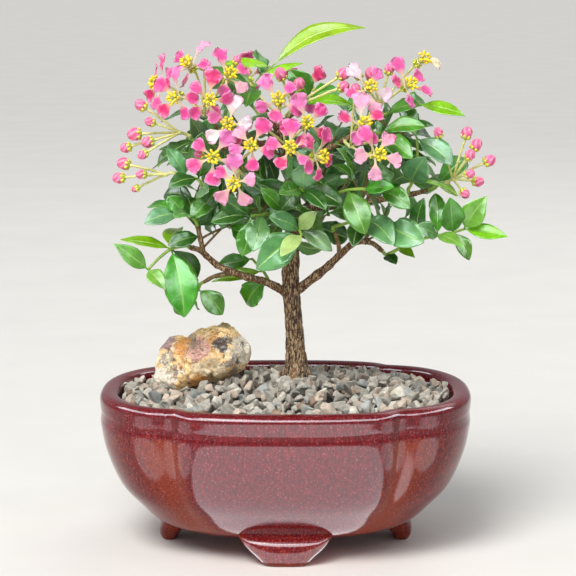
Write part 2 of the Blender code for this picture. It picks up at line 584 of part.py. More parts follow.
def rock_shape(grow):
    """The rock as a closed body, grown a little for the hollow that it lies in."""
    shape = bmesh.new()
    bmesh.ops.create_icosphere(shape, subdivisions=3, radius=1)
    for vert in shape.verts:
        vert.co = rock_point(vert.co.normalized(), grow)
    return shape


def wood_path(name):
    """A branch's points and radii."""
    rows = WOOD[name]
    return [Vector(row[:3]) for row in rows], [row[3] for row in rows]


def branch_bevel(rows):
    """How finely a branch is rounded: thick wood gets more sides."""
    return next(bevel for radius, bevel in BRANCH_SIDES if rows[0][3] >= radius)


def trunk_root(grow):
    """The buried end of the trunk, grown a little for the hole that it stands in."""
    rows = [(x, y, z, radius + grow) for x, y, z, radius in WOOD["trunk"][:ROOT_POINTS]]
    x, y, z, radius = rows[0]
    rows[0] = (x, y, z - grow, radius)
    return tube(rows, branch_bevel(rows))


def make_wood(collection):
    """Trunk and branches, grown together."""
    shapes = [tube(rows, branch_bevel(rows)) for rows in WOOD.values()]
    return fuse("wood", shapes, collection)


def blade(root, tip, width, look, turn):
    """One leaf: a folded, arched blade from its root on the shoot to its tip."""
    axis = (tip - root).normalized()
    length = (tip - root).length
    face = (look - axis * look.dot(axis)).normalized()
    turned = [Quaternion(axis, sign * math.radians(turn)) @ face for sign in (1, -1)]
    face = max(turned, key=lambda way: way.z)
    side = axis.cross(face)
    shape = bmesh.new()
    start = shape.verts.new(root - axis * 0.25)
    rows = []
    for share, fullness in (LARGE_BLADE if width >= LARGE_WIDTH else SMALL_BLADE):
        rise = BLADE_ARCH * 4 * share * (1 - share) * length
        middle = root + axis * share * length + face * rise
        half = side * width * fullness / 2
        lift = face * BLADE_FOLD * width * fullness / 2
        row = (middle - half + lift, middle, middle + half + lift)
        rows.append([shape.verts.new(point) for point in row])
    end = shape.verts.new(tip)
    for flank in (0, 1):
        shape.faces.new((start, rows[0][flank], rows[0][flank + 1]))
        shape.faces.new((end, rows[-1][flank + 1], rows[-1][flank]))
        for near, far in zip(rows, rows[1:]):
            shape.faces.new((near[flank], far[flank], near[flank + 1]))
            shape.faces.new((near[flank + 1], far[flank], far[flank + 1]))
    return shape, face


def swings():
    """Bends to try for a piece that would cross another, the smallest first."""
    yield 0, 0
    for size in (7, 14, 21, 28, 36):
        for across, around in ((1, 0), (-1, 0), (0, 1), (0, -1), (0.7, 0.7), (-0.7, 0.7), (0.7, -0.7)):
            yield size * across, size * around


def swung(root, tip, bend):
    """A tip moved around its root by a bend up or down and one to the side."""
    reach = tip - root
    level_side = reach.cross(Vector((0, 0, 1))).normalized()
    reach = Quaternion(level_side, math.radians(bend[0])) @ reach
    return root + Quaternion((0, 0, 1), math.radians(bend[1])) @ reach


def crosses(shape, others):
    """Whether a body touches any of the bodies that already stand."""
    tree = BVHTree.FromBMesh(shape)
    return any(tree.overlap(other) for other in others)


def fit_leaf(stem, row, bends, others, own):
    """The leaf with the first bend that keeps it clear of other nodes and its neighbours, or None."""
    root, tip, width, look, turn = row
    for bend in bends:
        end = swung(root, tip, bend)
        whole, face = blade(root, end, width, look, turn)
        outer, _ = blade(root.lerp(end, OUTER_SHARE), end, width, look, turn)
        thicken(whole, face, BLADE_THICKNESS + 2 * GAP)
        thicken(outer, face, BLADE_THICKNESS)
        if not crosses(whole, others) and not crosses(outer, own):
            own.append(BVHTree.FromBMesh(outer))
            leaf, face = blade(root, end, width, look, turn)
            stem.append(thicken(leaf, face, BLADE_THICKNESS))
            return True
    return False


def fill_leaf(draw, path):
    """One more leaf for a shoot, pointing away from the crown's centre."""
    root = along_path(path, draw.uniform(1.1, len(path) - 1.3))
    outward = (root - CROWN_CENTRE).normalized()
    way = outward * 0.7 + Vector([draw.uniform(-1, 1) for _ in range(3)])
    way.z = way.z * 0.7 - 0.1
    length = draw.uniform(*FILL_LENGTH)
    look = Vector((outward.x, outward.y, 0.3))
    return root, root + way.normalized() * length, length * FILL_SHARE, look, draw.uniform(10, 50)


def stalk(points, radius):
    """A thin green tube of one radius."""
    return tube([(*point, radius) for point in points], 0)


def make_shoot(name, paths, others, collection):
    """A leafy shoot: its stem with all its leaves fused on."""
    _, _, _, leaves, fill = SHOOTS[name]
    path = paths[name][0]
    shapes = [stalk(path, SHOOT_RADIUS)]
    own = []
    for place_along, tip, width, turn in leaves:
        row = (along_path(path, place_along), Vector(tip), width, FRONT, turn)
        if not fit_leaf(shapes, row, swings(), others, own):
            raise ValueError(f"no room for the leaf of {name} at {tip}")
    draw = random.Random(SEED + sorted(SHOOTS).index(name))
    for _ in range(fill):
        any(fit_leaf(shapes, fill_leaf(draw, path), [(0, 0)], others, own) for _ in range(FILL_TRIES))
    return fuse(name, shapes, collection)


def facing(name):
    """The way that a bloom faces: outward from the crown and to the front."""
    centre, given = BLOOMS[name][1], BLOOMS[name][3]
    if given:
        return Vector(given).normalized()
    return Vector((centre[0] / 70, -1, (centre[2] - 178) / 60 + 0.15)).normalized()


def bloom_frame(name, twist):
    """A bloom's own frame: Z along its facing, X towards its first petal."""
    out = facing(name)
    across = Vector((0, 0, 1)).cross(out).normalized()
    up = out.cross(across)
    angle = math.radians(BLOOMS[name][2] + twist)
    first = across * math.cos(angle) + up * math.sin(angle)
    turn = Matrix((first, out.cross(first), out)).transposed().to_4x4()
    return Matrix.Translation(BLOOMS[name][1]) @ turn


def corolla(name, twist, thickness):
    """The five clawed petals of a bloom on the ring that holds them."""
    shape = bmesh.new()
    ring = []
    claws = []
    for index in range(PETALS):
        angle = math.tau * index / PETALS
        out = Vector((math.cos(angle), math.sin(angle), 0))
        side = Vector((-out.y, out.x, 0))
        ring.append(shape.verts.new(out * PETAL_RING_RADIUS))
        whole = name != SPENT_BLOOM or index == 0
        rows = []
        for radius, width, height in (PETAL_ROWS if whole else PETAL_ROWS[:1]):
            middle = out * radius + Vector((0, 0, height))
            rows.append([shape.verts.new(middle + side * width * sign / 2) for sign in (-1, 1)])
        for near, far in zip(rows, rows[1:]):
            shape.faces.new((near[0], far[0], near[1]))
            shape.faces.new((near[1], far[0], far[1]))
        claws.append(rows[0])
    for index in range(PETALS):
        after = (index + 1) % PETALS
        shape.faces.new((ring[index], claws[index][0], claws[index][1]))
        shape.faces.new((ring[index], claws[index][1], claws[after][0]))
        shape.faces.new((ring[index], claws[after][0], ring[after]))
    bmesh.ops.recalc_face_normals(shape, faces=shape.faces)
    thicken(shape, Vector((0, 0, 1)), thickness)
    bmesh.ops.transform(shape, matrix=bloom_frame(name, twist), verts=shape.verts)
    return shape


def make_bloom(name, others, collection):
    """A bloom's petals, twisted a little where they would cross a neighbour's."""
    for twist in (0, 9, -9, 18, -18, 27, -27, 36):
        test = corolla(name, twist, PETAL_THICKNESS + GAP)
        blocked = crosses(test, others)
        test.free()
        if not blocked:
            return place(name, corolla(name, twist, PETAL_THICKNESS), collection)
    raise ValueError(f"no room for the petals of {name}")


def flower_core(name):
    """The middle of a flower: calyx, receptacle and a crown of stamens joined at their roots."""
    frame = bloom_frame(name, 0)
    angles = [math.tau * (side + 0.5) / CORE_SIDES for side in range(CORE_SIDES)]
    rings = []
    for distance, radius in FLOWER_CORE:
        ring = [Vector((radius * math.cos(a), radius * math.sin(a), distance)) for a in angles]
        rings.append([frame @ point for point in ring])
    shape = loft(rings, capped=False)
    top = list(shape.verts)[-CORE_SIDES:]
    hollow = shape.verts.new(frame @ Vector((0, 0, STAMEN_HOLLOW)))
    for index, corner in enumerate(top):
        after = top[(index + 1) % CORE_SIDES]
        angle = angles[index] + math.pi / CORE_SIDES
        reach, height = STAMEN_TIP
        tip = shape.verts.new(frame @ Vector((reach * math.cos(angle), reach * math.sin(angle), height)))
        shape.faces.new((corner, after, tip))
        shape.faces.new((after, hollow, tip))
        shape.faces.new((hollow, corner, tip))
    return shape


def bud(centre, size, stem_end):
    """A round bud with its calyx, pointing on from its stalk."""
    shape = bmesh.new()
    bmesh.ops.create_icosphere(shape, subdivisions=1, radius=BUD_RADIUS * size)
    way = (centre - stem_end).normalized()
    turn = way.to_track_quat("Z", "X").to_matrix().to_4x4()
    stretch = Matrix.Diagonal((1, 1, 1.12, 1))
    bmesh.ops.transform(shape, matrix=Matrix.Translation(centre) @ turn @ stretch, verts=shape.verts)
    return shape


def make_umbel(name, paths, collection):
    """An umbel: one short stalk that parts into the stalks of its buds and blooms."""
    buds = UMBELS[name][3]
    path = paths[name][0]
    node = path[-1]
    shapes = [stalk(path, STALK_RADIUS * 1.5), bud(node, NODE_SIZE, path[-2])]
    for centre, size in buds:
        centre = Vector(centre)
        root = node + (centre - node).normalized() * STALK_RADIUS
        shapes.append(stalk([root, centre], STALK_RADIUS))
        shapes.append(bud(centre, size, root))
    for bloom, row in BLOOMS.items():
        if row[0] == name:
            centre = Vector(row[1])
            out = facing(bloom)
            back = centre - out * 7
            root = node + (back - node).normalized() * STALK_RADIUS
            shapes.append(stalk([root, back, centre - out * 3], STALK_RADIUS))
            shapes.append(flower_core(bloom))
    return fuse(name, shapes, collection)


def all_paths():
    """The paths of every branch, shoot and umbel stalk, each from its seat on its parent."""
    paths = {name: wood_path(name) for name in WOOD}
    waiting = [(name, SHOOTS[name][:2], SHOOTS[name][2], SHOOT_RADIUS) for name in SHOOTS]
    waiting += [(name, UMBELS[name][:2], (UMBELS[name][2],), STALK_RADIUS * 1.5) for name in UMBELS]
    for name, (parent, position), points, radius in waiting:
        path = shoot_path(paths, parent, position, points)
        paths[name] = (path, [radius] * len(path))
    return paths


def settle(parts):
    """Turn millimetres into metres, with the origin under the middle of the whole plant."""
    corners = [vert.co for thing in parts for vert in thing.data.vertices]
    middle = [(min(c[axis] for c in corners) + max(c[axis] for c in corners)) / 2 for axis in (0, 1)]
    shift = Matrix.Translation((-middle[0], -middle[1], 0))
    for thing in parts:
        thing.data.transform(Matrix.Scale(METRES, 4) @ shift)


def tree_of(thing):
    """A search tree of an object's faces, to test others against."""
    mesh = thing.data
    faces = [face.vertices for face in mesh.polygons]
    return BVHTree.FromPolygons([vert.co for vert in mesh.vertices], faces)


def main():
    """Model every piece of the plant and its pot."""
    clear_scene()
    collection = bpy.data.collections.new(NAME)
    bpy.context.scene.collection.children.link(collection)
    looks = {"pot": make_pot(collection), "screen": make_screen(collection)}
    looks["soil"] = make_soil(collection)
    looks["gravel"] = make_gravel(collection)
    cut(looks["soil"], place("root_hole", trunk_root(GAP), collection))
    cut(looks["gravel"], place("root_hole", trunk_root(GAP), collection))
    cut(looks["gravel"], place("rock_hollow", rock_shape(GAP), collection))
    looks["rock"] = place("rock", rock_shape(0), collection)
    looks["wood"] = make_wood(collection)
    paths = all_paths()
    standing = {name: tree_of(looks[name]) for name in ("pot", "gravel", "rock", "wood")}
    for name in SHOOTS:
        stem = stalk(paths[name][0], SHOOT_RADIUS)
        standing[name] = BVHTree.FromBMesh(stem)
        stem.free()
    made = [(thing, look) for look, thing in looks.items()]
    for names, look in ((UMBELS, "stem"), (BLOOMS, "petal"), (SHOOTS, "leaf")):
        for name in names:
            others = [tree for other, tree in standing.items() if other != name]
            if look == "stem":
                thing = make_umbel(name, paths, collection)
            elif look == "petal":
                thing = make_bloom(name, others, collection)
            else:
                thing = make_shoot(name, paths, others, collection)
            standing[name] = tree_of(thing)
            made.append((thing, look))
    materials = {name: make_material(name) for name in COLOURS}
    for thing, look in made:
        thing.data.materials.clear()
        thing.data.materials.append(materials[look])
    settle([thing for thing, _ in made])


main()
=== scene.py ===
"""Looks of a flowering Barbados cherry bonsai in a glazed four-lobed pot.

Sizes and places are in millimetres round the middle of the pot, with the soles of its feet at
z = 0 and the front of the tree towards -Y, until a piece is built and put into the frame. The
lists of branches, shoots, stems and blooms are those that the solids were made from, so every
leaf, stalk and petal here lies where its solid does.
"""
import math
import random

import bmesh
import bpy
from bpy.props import FloatProperty, FloatVectorProperty, PointerProperty
from mathutils import Matrix, Quaternion, Vector, noise
from mathutils.bvhtree import BVHTree
from mathutils.geometry import interpolate_bezier
from mathutils.kdtree import KDTree


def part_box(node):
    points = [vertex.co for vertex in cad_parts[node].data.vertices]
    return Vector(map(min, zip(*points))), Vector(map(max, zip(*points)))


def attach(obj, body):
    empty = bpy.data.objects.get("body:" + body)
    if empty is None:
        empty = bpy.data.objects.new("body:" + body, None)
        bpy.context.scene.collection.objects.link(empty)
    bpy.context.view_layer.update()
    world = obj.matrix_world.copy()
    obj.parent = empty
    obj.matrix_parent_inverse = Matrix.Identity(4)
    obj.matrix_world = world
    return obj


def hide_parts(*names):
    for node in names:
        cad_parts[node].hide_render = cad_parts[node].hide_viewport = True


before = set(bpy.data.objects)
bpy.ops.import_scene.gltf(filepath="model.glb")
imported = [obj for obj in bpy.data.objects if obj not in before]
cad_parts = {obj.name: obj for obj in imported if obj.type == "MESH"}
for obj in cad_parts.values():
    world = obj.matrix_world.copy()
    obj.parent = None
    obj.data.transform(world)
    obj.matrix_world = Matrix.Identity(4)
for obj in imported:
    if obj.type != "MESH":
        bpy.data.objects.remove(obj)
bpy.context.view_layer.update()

bl_info = {
    "name": "Flowering bonsai",
    "version": (1, 0, 0),
    "blender": (4, 5, 0),
    "location": "3D View > Sidebar > Bonsai",
    "description": "Builds the visible pieces of a flowering bonsai round its packed solids",
    "category": "Add Mesh",
}

MM = 0.001
SEED = 7
POT_LOW, POT_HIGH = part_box("pot")
POT_CENTRE = Vector(((POT_LOW.x + POT_HIGH.x) / 2, (POT_LOW.y + POT_HIGH.y) / 2, 0))
TO_FRAME = Matrix.Translation(POT_CENTRE) @ Matrix.Scale(MM, 4)
UP = Vector((0, 0, 1))
FRONT = Vector((0, -1, 0.15))
WHITE = (1, 1, 1)

# Pot: the solid's outline, and rows of height, share of the rim, inset and crease of its wall
POT_HALF_WIDTH = 82.5
POT_HALF_DEPTH = 65.0
POT_FULLNESS = 2.5
CREASE_AT = math.radians(55.8)
CREASE_DEPTH = 0.075
CREASE_POWER = 7
CREASE_ROUND = 0.05
LOBE_STEPS = 40
POT_FLOOR = 15.5
POT_WALL = (
    (10.0, 0.63, 0.0, 0.2), (13.0, 0.71, 0.0, 0.3), (20.0, 0.80, 0.0, 0.5), (29.0, 0.895, 0.0, 0.7),
    (43.0, 0.967, 0.0, 0.85), (54.5, 0.995, 0.0, 0.97), (58.0, 0.997, 0.25, 1.0),
    (60.5, 0.998, 0.45, 1.0), (62.0, 1.0, 0.3, 1.0), (64.0, 1.0, 0.12, 1.0), (66.0, 1.0, 0.0, 1.0),
    (67.4, 1.0, 0.5, 1.0), (68.4, 1.0, 1.6, 1.0), (69.0, 1.0, 3.4, 1.0), (68.9, 1.0, 6.0, 1.0),
    (68.0, 1.0, 7.8, 1.0), (65.5, 1.0, 8.5, 1.0),
)
POT_LINING = (
    (60.0, 1.0, 8.0, 1.0), (43.0, 0.967, 6.5, 0.85), (29.0, 0.895, 6.5, 0.7),
    (20.0, 0.80, 6.5, 0.5), (POT_FLOOR, 0.72, 7.5, 0.3),
)
PROFILE_STEPS = 4
DRAIN_RADIUS = 9.0
# Feet: height, half width along the wall, and reach outward and inward across it
FOOT_SECTIONS = (
    (0.0, 7.9, 2.9, 2.8), (0.4, 8.7, 3.6, 3.3), (1.2, 9.6, 4.1, 3.7), (2.5, 10.9, 4.6, 4.4),
    (4.4, 12.9, 4.8, 6.0), (6.5, 15.5, 4.7, 8.2), (8.7, 17.9, 4.2, 10.4), (10.6, 19.4, 3.3, 11.3),
    (12.0, 20.4, 1.5, 11.3), (13.0, 20.6, -0.6, 10.8), (15.0, 20.0, -3.0, 6.0),
)
FOOT_SIDES = 64
FOOT_SQUARE = 0.68
SOLE_HEIGHT = 0.4
# Each foot's place, turn and size
FEET = ((0, -47.5, 0, 1.0), (0, 47.5, 180, 1.0), (-52, 0, -90, 0.8), (52, 0, 90, 0.8))
# Where the glaze turns rust brown: reach of the creases as a share of their lobe, height and
# depth of the belly, and height and depth of the fading under the neck; then how rusty each is
CREASE_GLOW = 0.11
BELLY_TOP = 26.0
BELLY_DEPTH = 14.0
NECK_HEIGHT = 58.5
NECK_FADE = 4.0
CREASE_RUST = 0.85
BELLY_RUST = 0.5
SIDE_RUST = 0.5
# Specular level of the glaze, of the waxed leaves and of everything else, low enough that the
# pale floor and surround do not veil their colours
GLAZE_GLOSS = 0.32
LEAF_GLOSS = 0.28
SOFT_GLOSS = 0.15

# Gravel: the mound and its clearance from the pot; layers of chips as spacing, lift over the
# mound and range of half sizes; and the bed of grit under them, from the pot's wall inwards
GAP = 0.3
MOUND_EDGE = 65.0
MOUND_RISE = 8.5
MOUND_MARGIN = 8
CHIP_LAYERS = ((7.2, -1.9, (3.3, 5.2)), (8.4, 0.5, (2.7, 4.3)), (11.0, 2.0, (1.6, 2.8)))
CHIP_KINDS = 24
CHIP_CORNERS = 11
CHIP_BEVEL = 0.09
CHIP_ROW = 0.866
CHIP_SHADE = (0.6, 1.13)
CHIP_REACH = (0.75, 1.0)
CHIP_STRETCH = (0.7, 1.15)
CHIP_JITTER = 0.3
CHIP_HEAVE = 0.6
TRUNK_CLEAR = 6.8
GRIT_SINK = 2.2
GRIT_SHARES = (1.0, 0.97, 0.9, 0.8, 0.68, 0.55, 0.42, 0.3, 0.18, 0.08)
GRIT_BASE = 61.0
GRIT_GRAIN = 0.45
GRIT_LUMPS = 0.9

# Rock: the solid's form, with the finer relief of broken and weathered stone
ROCK_CENTRE = Vector((-37.5, 5, 80.5))
ROCK_OUTLINE = (
    21.0, 20.8, 19.6, 17.2, 13.7, 12.0, 14.2, 18.6, 20.4, 21.8, 20.2, 15.2, 13.6, 13.0, 14.0, 17.0,
)
ROCK_HALF_DEPTH = 13.0
ROCK_BUMPS = (
    (Vector((-0.2, -0.7, 0.6)), -1.8, 9.0), (Vector((0.3, -0.9, 0.15)), 1.2, 8.0),
    (Vector((-0.7, -0.7, -0.3)), 1.2, 8.0), (Vector((0.6, -0.75, -0.4)), -1.4, 9.0),
)
ROCK_ROUGHNESS = 1.5
ROCK_GRAIN = 2.1
ROCK_DETAIL = 6
ROCK_FACETS = 70
FACET_STEP = 0.12
FACET_TILT = 0.26
FACET_OFFSET = 0.9
NEAR_FACETS = 3
# Its roughness, cracks and pits: their sizes and how high or deep they are
ROUGH_SIZE = 2.6
ROUGH_HEIGHT = 0.32
CRACK_SIZE = 5.2
CRACK_HALF = 0.08
CRACK_DEPTH = 1.1
PIT_SIZE = 1.5
PIT_FROM = 0.3
PIT_DEPTH = 1.3
# Stained patches of the rock: place from its centre, reach, colour and how ragged they are; the
# middles' depths count only in part, so that a stain runs back into the stone
STAIN_DEPTH = 0.35
ROCK_STAINS = (
    ((4, -12, -5), 8.0, "f2dcb4", 3.0), ((-7, -12, 8), 6.0, "dd9c50", 3.0),
    ((-1, -12, -9), 5.0, "d4924a", 3.0), ((6, -8, 9), 5.0, "e2a860", 3.0),
    ((-16, -8, -7), 6.0, "f0e7d6", 2.5), ((18.5, -6, 4.6), 6.5, "f6ecd8", 2.0),
    ((17, -6, -6), 4.5, "e6c896", 3.0), ((-15, -6, 9), 4.5, "8d747a", 2.5),
    ((-16, -10, 1), 4.0, "87807c", 3.0), ((-12, -10, -2.5), 3.0, "787170", 3.0),
    ((-1.2, -12, 6.4), 5.6, "dba79b", 1.6), ((12, -10, 6.0), 3.0, "c9c4bf", 2.5),
    ((12.5, -10, 0), 2.8, "938a82", 3.0), ((13.8, -10, -4.6), 2.6, "9a9088", 3.0),
    ((9.3, -8, 8.6), 4.6, "35333a", 2.0), ((-12, -12, 1.5), 1.3, "4b3024", 1.0),
    ((-9, -12, -2), 1.3, "4b3024", 1.0), ((-6, -12, -5.6), 1.5, "4b3024", 1.0),
    ((-5.4, -12, -9), 1.3, "4b3024", 1.0), ((-2, 14, 3), 9.0, "a08e7c", 3.0),
    ((14, 12, 2), 7.0, "6b6462", 3.0), ((-14, 12, -2), 8.0, "e2cfa4", 3.0),
)

# Wood: the points of each branch as x, y, z and radius, from its root inside its parent
WOOD = {
    "trunk": ((5, 2, 44, 4.6), (5, 2, 66, 5.6), (5, 2, 72, 7.0), (4.8, 2, 79, 5.2), (3.8, 2, 95, 4.1),
              (2.4, 2, 113, 4.0), (2.4, 2, 125, 3.9), (2.9, 2, 137, 3.3), (4.4, 2, 148, 2.8),
              (3, 2, 164, 2.2), (-1, 3, 178, 1.7), (-7, 2, 189, 1.4), (-12, 1, 197, 1.1)),
    "left": ((1, 1, 110.5, 2.2), (-7.7, -2, 116, 1.8), (-20, -5, 120, 1.6), (-30, -6, 124.5, 1.5),
             (-37, -8, 131, 1.3), (-42, -10, 133, 1.1)),
    "left_fork": ((-22, -5, 121, 1.2), (-31, -2, 119, 1.0), (-36, 1, 116, 0.9)),
    "left_rise": ((-36, -8, 130, 1.2), (-37.5, -10, 138, 1.1), (-38.5, -12, 142.5, 1.0)),
    "left_mid": ((3, 2, 150, 1.8), (-5, -5, 157, 1.5), (-20, -10, 159, 1.3), (-32, -13, 155, 1.1)),
    "left_high": ((-1, 3, 176, 1.4), (-14, -1, 178, 1.2), (-27, -3, 176, 1.1), (-33, -5, 175, 1.0)),
    "left_top": ((-19, -2, 177, 1.1), (-28, -4, 183, 1.0), (-32, -6, 188, 0.9)),
    "right": ((4, 2, 111, 2.3), (17.5, -3, 122.5, 1.9), (24, -5, 129, 1.6), (30.5, -8, 134.8, 1.5),
              (37.5, -10, 135, 1.2), (42.5, -12, 131.5, 1.0)),
    "right_rise": ((24, -5, 128.5, 1.1), (23, -7, 135, 1.0), (21.5, -8, 139.5, 0.9)),
    "right_mid": ((4, 2, 146, 2.0), (14, -4, 150, 1.7), (28, -8, 152, 1.5), (41, -10, 154, 1.3),
                  (54, -9, 156, 1.2), (62, -8, 158, 1.0)),
    "right_high": ((2.5, 2, 166, 1.6), (14, -2, 173, 1.4), (26, -6, 180, 1.2), (36, -8, 187, 1.1),
                   (40, -9, 190, 1.0)),
    "front_low_right": ((3, 1, 139, 1.5), (4, -7, 141, 1.2), (5, -14, 142, 1.0)),
    "front_low_left": ((3, 1, 142, 1.5), (-2, -7, 146, 1.2), (-7, -13, 148, 1.0)),
    "front_mid": ((4.2, 1, 150, 1.5), (4.5, -7, 155, 1.2), (5, -13, 158, 1.0)),
    "front_high": ((1.5, 2, 170, 1.4), (1, -6, 175, 1.2), (0, -13, 178, 1.0)),
    "top_right": ((-4, 2.5, 184, 1.2), (1, -1, 189, 1.1), (5, -4, 192, 1.0)),
    "back_low": ((2.5, 3, 136, 1.8), (6, 14, 144, 1.5), (12, 27, 150, 1.2), (16, 35, 153, 1.0)),
    "back_left": ((3.6, 3, 154, 1.6), (-10, 14, 161, 1.3), (-22, 27, 166, 1.1), (-27, 33, 168, 1.0)),
    "back_right": ((3, 3, 160, 1.5), (15, 14, 170, 1.2), (26, 26, 177, 1.0)),
    "back_top": ((0, 3, 174, 1.3), (-7, 13, 182, 1.1), (-11, 21, 187, 1.0)),
}
# Bark: spacing of its rings, sides, swellings of the branches, height and reach of the root
# flare, the thinnest wood that has it, and the sizes of fissures and plates, stretched upright
TRUNK_STEP = 0.8
BRANCH_STEP = 1.3
TRUNK_SIDES = 44
BRANCH_SIDES = 16
KNUCKLE_PITCH = 7.0
KNUCKLE_HALF = 0.9
KNUCKLE_SWELL = 0.16
THICK_WOOD = 4.0
ROOT_FLARE = (71.0, 5.0)
ROOT_RADIUS = 5
FISSURE_SIZE = 1.25
FISSURE_SHARPNESS = 2.6
PLATE_SIZE = 3.1
BARK_STRETCH = 0.33

